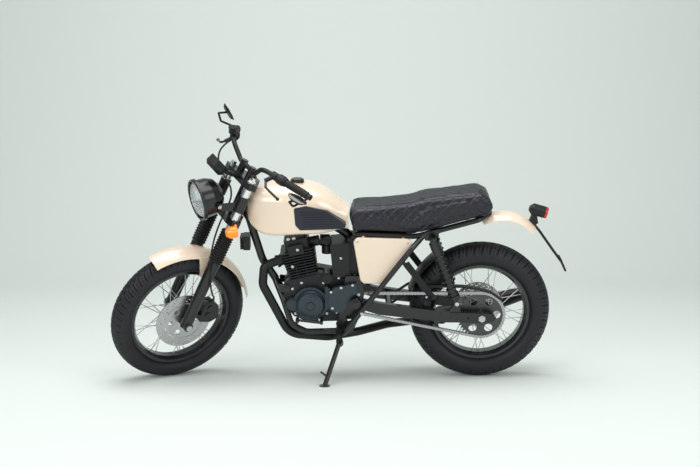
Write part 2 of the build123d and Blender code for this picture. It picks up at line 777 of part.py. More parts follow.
def frame_side():
    """The left cradle tube, seat rail, diagonal, pivot plate and shock mount."""
    y = frame_half
    cradle = bent_tube([Vector(950, 0, 495), Vector(905, 62, 400), Vector(868, y, 285),
                        Vector(800, y, cradle_floor - 4), Vector(610, y, cradle_floor)],
                       cradle_tube, [80, 60, 60])
    rail = bent_tube([Vector(575, y, rail_height), Vector(300, y, 704), Vector(20, 78, 778),
                      Vector(-30, 30, 792), Vector(-36, 0, 793)], rail_tube, [150, 30, 15])
    diagonal = bent_tube([Vector(270, y, 706), Vector(330, diagonal_y, 655), Vector(628, diagonal_y, 262),
                          Vector(640, plate_high + 3, cradle_floor - 8)], rail_tube, [60, 24])
    px, pz = pivot_at
    outline = [(px - 15, 520), (px + 45, 520), (px + 58, pz + 20), (px + 72, pz - 60), (665, 290), (650, 245),
               (590, 245), (px - 30, pz - 46), (px - 40, pz + 44)]
    plate = side_plate(outline, plate_low, plate_high, 8)
    plate = plate - disc((px + 24, pz + 82), plate_low - 1, plate_high + 1, 13)
    plate = plate - disc((px + 32, pz - 78), plate_low - 1, plate_high + 1, 15)
    mount = disc(shock_top_at, y + 2, diagonal_y + 4, 9) + disc(shock_top_at, diagonal_y + 4, diagonal_y + 8, 14)
    top_x, top_z = shock_top_at
    gusset = side_plate([(top_x - 38, top_z + 43), (top_x + 40, top_z + 25), (top_x + 34, top_z - 11),
                         (top_x - 16, top_z - 15)], y + 3, y + 12, 6)
    return cradle + rail + diagonal + plate + mount + gusset


def engine_mount(place, low, high):
    """A pair of plates with a bolt that carry the engine at this side-view place."""
    x, z = place
    ear = side_plate([(x - 20, z - 16), (x - 16, z + 16), (x + 34, z + 22), (x + 34, z - 14)], low, high, 5)
    return ear + disc(place, high, high + 5, 9)


pivot_tube = rod(at_height(pivot_at, -arm_inner - 12), at_height(pivot_at, arm_inner + 12), 22)
front_mount_at = (892.0, 452.0)
front_mount = engine_mount(front_mount_at, case_left + 1, case_left + 7)
left_side = frame_side()
frame_all = frame_middle() + left_side + mirrored(left_side)
frame_all = frame_all - pivot_tube


# Swingarm
def swingarm_leg():
    """The left leg, round at the pivot, deep behind it and slim at the axle."""
    top = [(-45, 22), (-20, 25), (150, 10), (arm_length - 110, 17), (arm_length - 30, 25)]
    bottom = [(arm_length - 30, -22), (arm_length - 110, -38), (150, -38), (-45, -17)]
    outline = [on_arm(along, above) for along, above in top + bottom]
    leg = side_plate(outline, arm_inner, arm_outer, 7) + disc(pivot_at, arm_inner, arm_outer, 25)
    foot = arm_length - shock_foot_back
    lug_line = [(foot - 28, 0), (foot + 24, 0), (foot + 14, shock_foot_rise - 2), (foot, shock_foot_rise + 14),
                (foot - 14, shock_foot_rise)]
    lug = side_plate([on_arm(along, above) for along, above in lug_line], arm_inner + 4, arm_outer - 4, 4)
    adjuster = [on_arm(along, above) for along, above in ((-58, -12), (-58, 16), (-43, 16), (-43, -12))]
    end_cap = side_plate(adjuster, arm_inner + 2, arm_outer - 2)
    tail = on_arm(-66, 2)
    cap = on_arm(-50, 2)
    bolt = rod(at_height(cap, arm_y), at_height(tail, arm_y), 5)
    return leg + lug + end_cap + bolt


def swingarm_body():
    """Both legs, the pivot tube with its caps, and the cross tube."""
    leg = swingarm_leg()
    body = leg + mirrored(leg) + pivot_tube
    body = body + disc(pivot_at, arm_outer, arm_outer + 4, 19) + disc(pivot_at, -arm_outer - 4, -arm_outer, 19)
    body = body + hex_nut(at_height(pivot_at, arm_outer + 4), at_height(pivot_at, arm_outer + 10), 14)
    cross = on_arm(arm_length - 157, -8)
    body = body + rod(at_height(cross, -arm_y), at_height(cross, arm_y), 16)
    body = body - disc(rear_place, -200, 200, axle_bore)
    for side in (-1, 1):
        mouth = side * arm_outer
        place = on_arm(bobbin_ahead, -6)
        body = body - rod(at_height(place, mouth - side * bobbin_depth), at_height(place, mouth + side), bobbin_radius)
    return body


swingarm = swingarm_body()
keep("swingarm", "frame", swingarm)

# Rear shock absorbers
shock_top = at_height(shock_top_at, arm_y + 14)
shock_foot = at_height(on_arm(arm_length - shock_foot_back, shock_foot_rise), arm_y + 4)
shock_dir = (shock_top - shock_foot).normalized()
damper_radius = 17.0
coil_radius = 25.0
wire_radius = 4.5


def shock():
    """The left damper with its rod, spring seats and eyes."""
    body = rod(shock_foot + shock_dir * 14, shock_foot + shock_dir * 150, damper_radius)
    body = body + rod(shock_foot + shock_dir * 150, shock_top - shock_dir * 14, 7)
    body = body + rod(shock_top - shock_dir * 70, shock_top - shock_dir * 12, coil_radius - 1)
    body = body + rod(shock_foot + shock_dir * 30, shock_foot + shock_dir * 40, coil_radius + 1)
    across = Vector(0, 12, 0)
    return body + rod(shock_foot - across * 1.5, shock_foot + across * 1.5, 15) + rod(
        shock_top - across, shock_top + across, 16
    )


def spring():
    """The left spring, its coils drawn as rounded rings on a thin sleeve."""
    low = shock_foot + shock_dir * 40
    high = shock_top - shock_dir * 70
    pitch = (high - low).length / coil_count
    seat = Plane(origin=low, x_dir=(0, 1, 0), z_dir=shock_dir)
    inner = damper_radius + running_gap
    root = coil_radius - 1.3 * wire_radius

    def at(r, height):
        return seat.from_local_coords((r, 0, height))

    edges = [Line(at(inner, pitch * coil_count), at(inner, 0)), Line(at(inner, 0), at(root, 0))]
    for k in range(coil_count):
        middle = (k + 0.5) * pitch
        edges += [
            Line(at(root, k * pitch), at(root, middle - wire_radius)),
            ThreePointArc(at(root, middle - wire_radius), at(coil_radius, middle), at(root, middle + wire_radius)),
            Line(at(root, middle + wire_radius), at(root, (k + 1) * pitch)),
        ]
    edges.append(Line(at(root, pitch * coil_count), at(inner, pitch * coil_count)))
    return revolve(make_face(edges), axis=Axis(low, shock_dir))


left_shock = shock() + spring()
keep("shock_absorbers", "frame", *[piece - swingarm - frame_all for piece in both_sides(left_shock)])


# Engine
def crankcase_block():
    """The crankcase with its bolting flange between the halves."""
    outline = [(900, 470), (905, 400), (858, 318), (745, 292), (640, 296), (603, 330), (603, 470), (650, 512),
               (745, 530), (885, 492)]
    grown = [(900, 476), (911, 400), (862, 312), (745, 286), (637, 290), (597, 328), (597, 472), (648, 518),
             (745, 536), (888, 498)]
    block = side_plate(outline, case_right, case_left, 14)
    flange = side_plate(grown, -8, 8, 14)
    cap = disc((703, 507), 8, case_left + 22, 26) + disc((703, 507), case_left + 22, case_left + 27, 20)
    return block + flange + cap


def alternator_cover():
    """The left engine cover: a stepped dome with a centre plug, and the smaller cover ahead of it."""
    face = case_left + 40
    centre = at_height(crank_at, 0)
    dome = turned([(0, case_left), (66, case_left), (66, face - 6), (61, face), (57, face + 8), (44, face + 12),
                   (21, face + 14), (21, face + 11), (17, face + 11), (17, face + 16), (0, face + 16)], centre)
    collar = disc(crank_at, case_left, case_left + 24, 79)
    ahead = (crank_at[0] + 82, crank_at[1] - 2)
    small = disc(ahead, case_left, case_left + 26, 30) + disc(ahead, case_left + 26, case_left + 31, 24)
    return dome + collar + small


def sprocket_cover():
    """The cover of the front sprocket, notched round the swingarm pivot."""
    px, pz = pivot_at
    low = plate_high + running_gap
    outline = [(674, 471), (px - 4, 492), (px - 7, pz + 47), (px + 21, pz + 40), (px + 42, pz + 12),
               (px + 42, pz - 20), (636, 354), (668, 354), (691, 368), (698, 393), (695, 442)]
    cover = side_plate(outline, low, low + 23, 5)
    wall = side_plate([(713, 472), (700, 472), (700, 362), (714, 362)], case_left, low + 8)
    web = side_plate([(713, 465), (690, 465), (690, 370), (713, 370)], low, low + 8)
    hollow = side_plate([(672, 462), (px + 30, 474), (px + 52, pz + 24), (px + 52, pz - 26), (662, 366)],
                        low - 1, low + 17)
    return cover + wall + web - hollow


def clutch_cover():
    """The right engine cover over the clutch and the oil pump."""
    return disc((737, 402), -116, case_right, 74) + disc((737, 402), -122, -116, 60) + disc(
        (815, 392), -104, case_right, 52
    )


crankcase = crankcase_block()
left_cover = alternator_cover()
chain_cover = sprocket_cover()
frame_all = frame_all + (front_mount - crankcase) + mirrored(engine_mount(front_mount_at, -case_right + 1, -case_right + 7))
frame_all = frame_all - left_cover
cylinder_dir = Vector(math.sin(math.radians(cylinder_lean)), 0, math.cos(math.radians(cylinder_lean)))
cylinder_seat = Plane(origin=at_height(cylinder_at, 0), x_dir=(cylinder_dir.Z, 0, -cylinder_dir.X),
                      z_dir=cylinder_dir)


def finned_block(first, count, core_length, core_width):
    """Part of the cylinder: a core with fins that grow from the base of the cylinder upwards."""
    low = first * fin_pitch
    core = cylinder_seat * Pos(0, 0, low) * Box(core_length, core_width, count * fin_pitch, align=UP_BASE)
    fins = []
    for k in range(first, first + count):
        length = 130 + 2.8 * k
        width = 140 + 2.0 * k
        fin = Box(length, width, 4, align=UP_BASE)
        fin = fillet(fin.edges().filter_by(Axis.Z), 14)
        fins.append(cylinder_seat * Pos(0, 0, (k + 0.35) * fin_pitch) * fin)
    ribs = []
    for along in (-22, 22):
        for side in (-1, 1):
            rib_y = side * (core_width / 2 + 6)
            rib = Pos(along, rib_y, low + fin_pitch) * Box(4, 14, (count - 1.3) * fin_pitch, align=UP_BASE)
            ribs.append(cylinder_seat * rib)
    return core + fins + ribs


def cylinder_head():
    """The finned head with its rocker cover, side plates and ports."""
    top = (cylinder_fins + head_fins) * fin_pitch
    head = finned_block(cylinder_fins, head_fins, 118, 122)
    seat = cylinder_seat * Pos(-4, 0, top)
    rocker = fillet(Box(112, 118, 44, align=UP_BASE).edges().filter_by(Axis.Z), 14)
    lid = fillet(Box(92, 96, 14, align=UP_BASE).edges().filter_by(Axis.Z), 12)
    head = head + seat * rocker + seat * Pos(0, 0, 44) * lid
    plate = fillet(Box(70, 24, 46, align=UP_BASE).edges().filter_by(Axis.Y), 8)
    for side in (-1, 1):
        head = head + seat * Pos(8, side * 66, -22) * plate
    port_out = rod((900, 30, 588), (926, 36, 574), 26)
    port_in = rod((785, 0, 655), (737, 0, 664), 24)
    return head + port_out + port_in


cylinder = finned_block(0, cylinder_fins, 104, 108) - crankcase
head = cylinder_head() - cylinder
keep("crankcase", "frame", crankcase - frame_all - swingarm)
keep("engine_covers", "frame", left_cover, chain_cover - frame_all, clutch_cover())
keep("cylinder", "frame", cylinder)
keep("cylinder_head", "frame", head)


# Intake
def carburettor():
    """The carburettor with its float bowl, its cap and the throttle drum."""
    middle = Vector(703, 0, 664)
    throat = rod(middle + Vector(32, 0, 0), middle - Vector(13, 0, 0), 27)
    bowl_piece = Pos(703, 0, 622) * Cylinder(25, 38) + Pos(703, 0, 644) * Cylinder(20, 70)
    drum = rod(middle + Vector(0, 24, 4), middle + Vector(0, 34, 4), 18)
    return throat + bowl_piece + drum + rod(middle, middle + Vector(0, 38, 4), 8)


def air_filter_box():
    """The air box: a wide front half beside the carburettor, and the part behind the side covers."""
    front = side_plate([(690, 664), (601, 672), (601, 515), (640, 511), (676, 514)], -80, 80, 6)
    rear = side_plate([(610, 690), (610, 520), (420, 520), (330, 688)], -66, 66, 8)
    return front + rear


carb = carburettor() - frame_all - head
keep("carburettor", "frame", carb)
air_box = air_filter_box() - frame_all - carb - crankcase
keep("air_box", "frame", largest(air_box))

# Exhaust
header_path = [Vector(914, 33, 581), Vector(990, 46, 556), Vector(998, 58, 470), Vector(880, 60, 232),
               Vector(700, 52, 213), Vector(560, -20, 210), Vector(420, -130, 206), Vector(240, -172, 212)]
muffler_end = Vector(-218, -188, 331)
muffler_radius = 42.0


def header():
    """The header pipe from the port, round the front of the engine and under it, with its clamp."""
    pipe = bent_tube(header_path, 20, [30, 60, 90, 90, 120, 120])
    clamp_ring = rod((922, 36, 577), (934, 38, 573), 29)
    return pipe + clamp_ring - head - frame_all


def muffler():
    """The silencer: an inlet cone, a body between two bands, and a tapered tail with its outlet."""
    start = header_path[-1]
    length = (muffler_end - start).length
    seat = Plane(origin=start, z_dir=muffler_end - start)
    body = seat * Cone(22, muffler_radius, 70, align=UP_BASE)
    body = body + seat * Pos(0, 0, 70) * Cylinder(muffler_radius, 300, align=UP_BASE)
    body = body + seat * Pos(0, 0, 370) * Cone(muffler_radius, 31, length - 370, align=UP_BASE)
    for band in (72, 352):
        body = body + seat * Pos(0, 0, band) * Cylinder(muffler_radius + 2, 16, align=UP_BASE)
    return body - seat * Pos(0, 0, length - 60) * Cylinder(22, 80, align=UP_BASE)


header_pipe = header()
keep("header_pipe", "frame", header_pipe)
keep("muffler", "frame", muffler() - header_pipe)


# Tank
# Sections from the front: distance behind the steering head, half width, bottom, top, shoulder radius
tank_sections = [
    (57, 58, 800, 878, 30), (77, 88, 758, 902, 50), (132, 116, 724, 930, 72), (227, 134, 722, 942, 88),
    (337, 134, 727, 932, 88), (427, 112, 731, 896, 76), (511, 84, 735, 834, 50),
]
tank_lower_edge = 20.0


def tank_shell():
    """The tank, lofted through its cross-sections, with the tunnel that straddles the spine."""
    faces = []
    for back, half, low, high, shoulder in tank_sections:
        outline = Rectangle(2 * half, high - low)
        outline = fillet(outline.vertices().sort_by(Axis.Y)[:2], tank_lower_edge)
        outline = fillet(outline.vertices().sort_by(Axis.Y)[-2:], shoulder)
        seat = Plane(origin=(head_at[0] - back, 0, (low + high) / 2), x_dir=(0, 1, 0), z_dir=(1, 0, 0))
        faces.append(seat * outline)
    body = loft(faces) - Pos(830, 0, 745) * Box(520, 64, 110)
    body = body - rod(on_head(-0.2), on_head(1.2), head_tube_radius + 6)
    body = body - bent_tube(spine_path, main_tube + running_gap, spine_bends)
    return body - bent_tube(down_path, down_tube + running_gap, down_bends)


def knee_pad(tank_body):
    """The left rubber knee pad, laid on the side of the tank."""
    outline = [(848, 852), (794, 862), (700, 838), (615, 775), (625, 757), (822, 751), (842, 774)]
    return largest(side_plate(outline, 90, 139, 8) - tank_body - Pos(750, 0, 800) * Box(400, 150, 200))


tank = tank_shell() - frame_all
keep("fuel_tank", "frame", tank)
cap = Pos(835, 0, 944) * Cylinder(31, 12) + Pos(835, 0, 951) * Cylinder(26, 5)
keep("tank_cap", "frame", cap - tank)
keep("knee_pads", "frame", *both_sides(knee_pad(tank)))


# Seat
def seat_form():
    """The long seat with its low front, its step and its rounded rear."""
    outline = [(592, 738), (598, 800), (585, 834), (458, 842), (329, 858), (253, 878), (120, 894), (10, 904),
               (-30, 885), (-46, 845), (-30, 812), (70, 780), (224, 737), (313, 721)]
    half = 112.0
    form = side_plate(outline, -half, half, 5)
    top_edges = form.edges().filter_by(
        lambda e: abs(abs(e.center().Y) - half) < 0.1 and e.center().Z > 800 and e.length > 40
    )
    return fillet(top_edges, 18)


keep("seat", "frame", seat_form() - frame_all - tank)


# Side covers
def side_cover():
    """The left side cover, a crowned panel inside the diagonal tube."""
    outline = [(588, 708), (300, 698), (435, 486), (551, 491)]
    panel = side_plate(outline, plate_high + 4, plate_high + 20, 26)
    outer = panel.faces().sort_by(Axis.Y)[-1]
    panel = fillet(outer.edges(), 7)
    pegs = [disc(place, frame_half + 3, plate_high + 6, 8) for place in ((540, 703), (360, 695))]
    return panel + pegs


keep("side_covers", "frame", *both_sides(side_cover() - frame_all))

# Rear fender, lamp and number plate bracket
rear_fender = fender_band(Vector(-92, 0, 600), 195, 27, 62, 3, 60, 82) - frame_all - parts["seat"][1]
keep("rear_fender", "frame", rear_fender)
tail_front = Vector(-232, 0, 806)
tail_back = Vector(-286, 0, 790)
tail_dir = (tail_back - tail_front).normalized()
tail_radius = 27.0
plate_foot = Vector(-372, 0, 555)
plate_at = Vector(-376, 0, 546.5)
plate_normal = Vector(-0.9138, 0, 0.4061)


def tail_lamp():
    """The bullet lamp with its bracket on the rear fender."""
    body = rod(tail_front, tail_back, tail_radius)
    nose = Plane(origin=tail_front, z_dir=-tail_dir) * Cone(tail_radius, 12, 16, align=UP_BASE)
    bracket = side_plate([(-218, 752), (-240, 730), (-258, 742), (-250, 785), (-232, 790)], -12, 12)
    return body + nose + largest(bracket - rear_fender)


def plate_bracket():
    """The curved arm below the lamp, with the plate's back and its two screw holes."""
    arm = bent_tube([Vector(-245, 0, 728), Vector(-268, 0, 700), Vector(-333, 0, 608), plate_foot], 6, [20, 200])
    board = side_plate([(-360, 570), (-368, 576), (-392, 522), (-384, 518)], -40, 40)
    bracket = arm + board
    for side in (-1, 1):
        hole = plate_at + Vector(0, side * plate_hole_half, 0)
        bracket = bracket - rod(hole - plate_normal * 12, hole + plate_normal * 12, plate_hole_radius)
    return bracket


lamp = tail_lamp()
keep("tail_lamp", "frame", lamp)
keep("tail_lamp_lens", "frame", rod(tail_back, tail_back + tail_dir * 11, tail_radius))
keep("plate_bracket", "frame", plate_bracket() - lamp - rear_fender)


# Chain guard and inner fender
def chain_guard():
    """The folded guard over the upper chain run, with its bracket to the swingarm."""
    crest = [(279, 149), (88, 145), (15, 133), (-45, 115), (-97, 77)]
    line = [(rear_axle.X + x, rear_axle.Z + z) for x, z in crest]
    skirt = [(x + 2, z - 11) for x, z in line]
    lid = [(x + 1, z - 3) for x, z in line]
    outer = chain_line + 11.5
    guard = side_plate(line + skirt[::-1], outer - 3, outer)
    guard = guard + side_plate(line + lid[::-1], chain_line - 6.5, outer)
    foot = (rear_axle.X + 240, rear_axle.Z + 31)
    top_z = line[0][1] - 4
    tab = side_plate([(foot[0] - 10, top_z), (foot[0] + 10, top_z), (foot[0] + 10, foot[1] - 6),
                      (foot[0] - 10, foot[1] - 6)], outer - 3, outer)
    return guard + tab + rod(at_height(foot, outer - 3), at_height(foot, arm_inner + 1), 5)


def inner_fender():
    """The short fender ahead of the rear tyre, on two struts to the swingarm."""
    band = fender_band(rear_axle, rear_radius + 20, 9, 60, 3, 18, 36)
    start = (rear_axle.X + 322, rear_axle.Z + 112)
    end = on_arm(arm_length - 157, -8)
    strut = rod(at_height(start, 54), at_height(end, 54), 6)
    return band + both_sides(strut)


keep("chain_guard", "frame", chain_guard() - swingarm)
keep("inner_fender", "frame", inner_fender() - swingarm)


# Chain

def chain_runs():
    """The chain's pitch line: upper run, front wrap, lower run and rear wrap, as (start, end, centre)."""
    big = chain_pitch / (2 * math.sin(math.pi / rear_teeth))
    small = chain_pitch / (2 * math.sin(math.pi / front_teeth))
    span = math.hypot(front_sprocket_at[0] - rear_place[0], front_sprocket_at[1] - rear_place[1])
    tilt = math.atan2(front_sprocket_at[1] - rear_place[1], front_sprocket_at[0] - rear_place[0])
    spread = math.acos((big - small) / span)
    return big, small, tilt + spread, tilt - spread


def chain_place(distance, offset):
    """A side-view place at this distance round the chain, and this far outside its pitch line."""
    big, small, up, down = chain_runs()
    run = math.hypot(front_sprocket_at[0] - rear_place[0], front_sprocket_at[1] - rear_place[1])
    straight = math.sqrt(run ** 2 - (big - small) ** 2)
    front_wrap = small * (up - down)
    if distance < straight:
        share = distance / straight
        start = on_circle(rear_place, big + offset, up)
        end = on_circle(front_sprocket_at, small + offset, up)
        return (start[0] + (end[0] - start[0]) * share, start[1] + (end[1] - start[1]) * share)
    distance -= straight
    if distance < front_wrap:
        return on_circle(front_sprocket_at, small + offset, up - distance / small)
    distance -= front_wrap
    if distance < straight:
        share = distance / straight
        start = on_circle(front_sprocket_at, small + offset, down)
        end = on_circle(rear_place, big + offset, down)
        return (start[0] + (end[0] - start[0]) * share, start[1] + (end[1] - start[1]) * share)
    return on_circle(rear_place, big + offset, down - (distance - straight) / big)


def on_circle(place, radius, angle):
    """A side-view place on a circle."""
    return (place[0] + radius * math.cos(angle), place[1] + radius * math.sin(angle))


def chain_length():
    """The length of the chain's pitch line."""
    big, small, up, down = chain_runs()
    run = math.hypot(front_sprocket_at[0] - rear_place[0], front_sprocket_at[1] - rear_place[1])
    return 2 * math.sqrt(run ** 2 - (big - small) ** 2) + small * (up - down) + big * (2 * math.pi - up + down)


def chain_plates(y_low, y_high):
    """One row of link plates: waisted halfway between the pins."""
    links = round(chain_length() / chain_pitch)
    step = chain_length() / links
    outer = []
    inner = []
    for k in range(links):
        for share, height in ((0.0, chain_half_height), (0.5, chain_half_height - 2.5)):
            outer.append(chain_place((k + share) * step, height))
            inner.append(chain_place((k + share) * step, -height))
    return side_plate(outer, y_low, y_high) - side_plate(inner, y_low - 1, y_high + 1)


def chain_rollers():
    """The rollers of both straight runs, clear of the sprockets' teeth."""
    links = round(chain_length() / chain_pitch)
    step = chain_length() / links
    rollers = []
    for k in range(links):
        place = chain_place(k * step, 0)
        from_rear = math.hypot(place[0] - rear_place[0], place[1] - rear_place[1])
        from_front = math.hypot(place[0] - front_sprocket_at[0], place[1] - front_sprocket_at[1])
        rear_reach = chain_pitch / (2 * math.sin(math.pi / rear_teeth)) + 10
        front_reach = chain_pitch / (2 * math.sin(math.pi / front_teeth)) + 10
        if from_rear > rear_reach and from_front > front_reach:
            rollers.append(disc(place, chain_line - plate_gap, chain_line + plate_gap, 5))
    return rollers


chain = chain_plates(chain_line + plate_gap, chain_line + chain_half_width)
chain = chain + chain_plates(chain_line - chain_half_width, chain_line - plate_gap) + chain_rollers()
keep("chain", "frame", chain)
front_sprocket = sprocket(front_sprocket_at, front_teeth, chain_line, 14) + disc(
    front_sprocket_at, case_left, chain_line + 3, 14
)
keep("front_sprocket", "frame", front_sprocket - chain)


# Footrests and foot controls
def footrest():
    """The left rider's footrest on its bracket."""
    root = Vector(652, plate_high, 272)
    elbow = Vector(652, plate_high + 23, 268)
    tip = Vector(650, plate_high + 110, 264)
    body = rod(root, elbow, 12) + rod(elbow, tip, 13)
    for k in range(5):
        ring = elbow + (tip - elbow) * (0.25 + 0.16 * k)
        body = body + rod(ring, ring + Vector(0, 6, 0), 15)
    return body - frame_all


def pillion_footrest():
    """The left pillion footrest on its hanger plate."""
    face = diagonal_y + rail_tube + running_gap
    plate = side_plate([(338, 610), (362, 590), (236, 424), (212, 440)], face, face + 5, 5)
    peg = rod((240, face, 432), (262, face + 66, 432), 11)
    lug = rod((374, diagonal_y - 2, 600), (346, face + 3, 594), 8)
    return plate + peg + lug - frame_all


def shift_lever():
    """The gear lever on its shaft, with its rubber toe piece."""
    lever_arm = rod((730, 126, 307), (840, 138, 326), 6)
    return rod((730, case_left, 307), (730, 132, 307), 7) + lever_arm + rod((840, 120, 326), (840, 165, 326), 8)


def brake_pedal():
    """The rear brake pedal with its toe pad."""
    root = Vector(640, -plate_high - 2, 285)
    return bent_tube([root, Vector(700, -140, 262), Vector(845, -140, 290)], 6, [30]) + rod(
        (845, -165, 290), (845, -125, 290), 9
    )


rest = footrest()
keep("footpegs", "frame", *both_sides(rest), *both_sides(pillion_footrest()))
keep("foot_controls", "frame", shift_lever() - crankcase - frame_all, brake_pedal() - frame_all - mirrored(rest))


# Regulator, a finned block on the downtube
def regulator():
    """The finned electrical regulator ahead of the downtube."""
    body = Pos(1068, 0, 660) * Box(30, 70, 66)
    for k in range(6):
        body = body + Pos(1090, 0, 634 + 10.5 * k) * Box(16, 76, 4)
    return body


keep("regulator", "frame", regulator() - frame_all)


# Brake hose, from the right master cylinder to the caliper: up the fork line, across it and ahead of it
hose_radius = 4.0
brake_hose_route = [
    (795, -166, 42), (765, -150, 62), (728, -130, 62), (700, -98, 50), (686, -60, 43), (678, -12, 41),
    (666, 32, 40), (636, 62, 39), (592, 70, 42), (544, 73, 46), (492, 79, 49), (436, 91, 50),
    (380, 106, 45), (322, 123, 33), (264, 135, 13), (212, 134, -18), (176, 118, -52), (158, 94, -80),
]


def brake_hose():
    """The hose along its route, each bend as large as its runs allow."""
    out = Vector(bar_dir.X, -bar_dir.Y, bar_dir.Z)
    start = mirrored_point(perch_at) - out * 8 + lever_ahead * 16
    along, across, ahead = banjo_place
    end = on_fork(along + banjo_length, across, ahead)
    points = [start, start - out * 25] + [on_fork(*spot) for spot in brake_hose_route] + [end]
    bends = []
    for before, here, after in zip(points, points[1:], points[2:]):
        half_turn = math.radians((here - before).get_angle(after - here)) / 2
        shorter = min((here - before).length, (after - here).length)
        bends.append(0.45 * shorter / math.tan(half_turn))
    return bent_tube(points, hose_radius, bends)


keep("brake_hose", "steering", largest(brake_hose() - right_controls - handlebar - caliper))


# Parking: the pitch and height at which both tyres touch the floor once the motorcycle leans

def steered(point):
    """The point after the steering has turned to its stop."""
    return (point - steer_base).rotate(Axis((0, 0, 0), fork_dir), steer_stop) + steer_base


def steered_vector(direction):
    """The direction after the steering has turned to its stop."""
    return direction.rotate(Axis((0, 0, 0), fork_dir), steer_stop)


def leaned(vector, pitch):
    """A vector pitched about the transverse axis and leaned to the left."""
    return vector.rotate(Axis.Y, pitch).rotate(Axis.X, -lean)


def tyre_bottom(centre, axle, radius, crown, pitch):
    """The height of the lowest point of a tyre."""
    tilt = leaned(axle, pitch).Z
    return leaned(centre, pitch).Z - (radius - crown) * math.sqrt(1 - tilt ** 2) - crown


def parking():
    """The pitch that brings both tyres to the same height, and that height."""
    across = Vector(0, 1, 0)
    pitch = 0.0
    for _ in range(12):
        rear = tyre_bottom(rear_axle, across, rear_radius, rear_crown, pitch)
        front = tyre_bottom(steered(front_axle), steered_vector(across), front_radius, front_crown, pitch)
        pitch += math.degrees((front - rear) / wheelbase)
    return pitch, rear


park_pitch, park_height = parking()


def parked(piece):
    """A piece of the upright motorcycle, leaned onto the floor."""
    return Pos(0, 0, -park_height) * piece.rotate(Axis.Y, park_pitch).rotate(Axis.X, -lean)


def parked_vector(direction):
    """A direction of the upright motorcycle once it is parked."""
    return leaned(direction, park_pitch)


def upright_vector(direction):
    """The upright motorcycle's direction for one of the parked motorcycle."""
    return direction.rotate(Axis.X, lean).rotate(Axis.Y, -park_pitch)


def upright_point(point):
    """The upright motorcycle's point for one of the parked motorcycle."""
    return upright_vector(point + Vector(0, 0, park_height))


# Side stand: the leg stands on the floor ahead of its hinge, and folds up to the rear
stand_pivot = Vector(*stand_pivot_at)
stand_foot = upright_point(Vector(*stand_foot_at))
floor_up = upright_vector(Vector(0, 0, 1))
leg_dir = (stand_foot - stand_pivot).normalized()
folded_dir = Vector(*stand_folded).normalized()
hinge_dir = leg_dir.cross(folded_dir).normalized()
stand_swing = leg_dir.get_angle(folded_dir)
stand_pin = 5.7
stand_bore = 6.0


def side_stand():
    """The leg with its hinge boss, foot plate and kick tab, cut level at the floor."""
    leg = rod(stand_pivot + leg_dir * 6, stand_foot - leg_dir * 2, stand_leg_radius)
    leg = leg + rod(stand_pivot - hinge_dir * stand_half, stand_pivot + hinge_dir * stand_half, 16)
    leg = leg - rod(stand_pivot - hinge_dir * 40, stand_pivot + hinge_dir * 40, stand_bore)
    floor = Plane(origin=stand_foot, z_dir=floor_up)
    pad = rod(stand_foot, stand_foot + floor_up * 6, 24)
    tab_root = stand_foot - leg_dir * 45
    tab = rod(tab_root, tab_root + upright_vector(Vector(0.75, 0.2, 0.6)).normalized() * 42, 4.5)
    return leg + pad + tab - floor * Box(400, 400, 100, align=DOWN_BASE)


def stand_bracket():
    """The frame's half of the hinge: a boss on an arm, and the pin with its head."""
    inward = -hinge_dir if hinge_dir.Y > 0 else hinge_dir
    near = stand_pivot + inward * (stand_half + running_gap)
    head_start = stand_pivot - inward * (stand_half + running_gap)
    head_end = stand_pivot - inward * (stand_half + 8)
    bracket = rod(near, near + inward * 16, 17)
    bracket = bracket + rod(near + inward * 9, (stand_pivot.X - 4, frame_half + 1, cradle_floor), 9)
    bracket = bracket - rod(stand_pivot - inward * 30, near, 17.3)
    return bracket + rod(near, head_end, stand_pin) + rod(head_start, head_end, 10)


keep("side_stand", "side_stand", side_stand())
keep("frame", "frame", frame_all + stand_bracket())

# Park every piece and put the origin under the middle of the whole motorcycle
placed = {}
for name, (body, solids) in parts.items():
    if body in ("steering", "front_wheel"):
        solids = [solid.rotate(steer_axis, steer_stop) for solid in solids]
    placed[name] = Compound(children=[parked(solid) for solid in solids])
box = Compound(children=[Compound(children=list(group.solids())) for group in placed.values()]).bounding_box()
middle = Vector((box.min.X + box.max.X) / 2, (box.min.Y + box.max.Y) / 2, 0)
for name, group in placed.items():
    export_step(Pos(-middle.X, -middle.Y, 0) * Compound(children=group.solids()), f"parts/{name}.step")


def report(label, point, direction):
    """Prints a place in metres and a direction, as parked."""
    place = parked_vector(point) - Vector(0, 0, park_height) - middle
    heading = parked_vector(direction)
    print(label, *[round(n / 1000, 6) for n in place], *[round(n, 6) for n in heading])


report("rear_wheel", rear_axle, Vector(0, 1, 0))
report("front_wheel", steered(front_axle), steered_vector(Vector(0, 1, 0)))
report("steering", on_head(0), -fork_dir)
report("side_stand", stand_pivot, hinge_dir)
print("stand_swing", round(stand_swing, 2), "box", box.min - middle, box.max - middle)
for side, label in ((1, "left"), (-1, "right")):
    bobbin_place = at_height(on_arm(bobbin_ahead, -6), side * (arm_outer - bobbin_depth / 2))
    report("bobbin_" + label, bobbin_place, Vector(0, side, 0))
    report("plate_" + label, plate_at + Vector(0, side * plate_hole_half, 0), plate_normal)
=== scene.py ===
"""The looks of the scrambler motorcycle: finishes, tread, quilting, bolts, lamp glass, and the studio."""
import json
import math

import bpy
from mathutils import Matrix, Vector
from mathutils.bvhtree import BVHTree


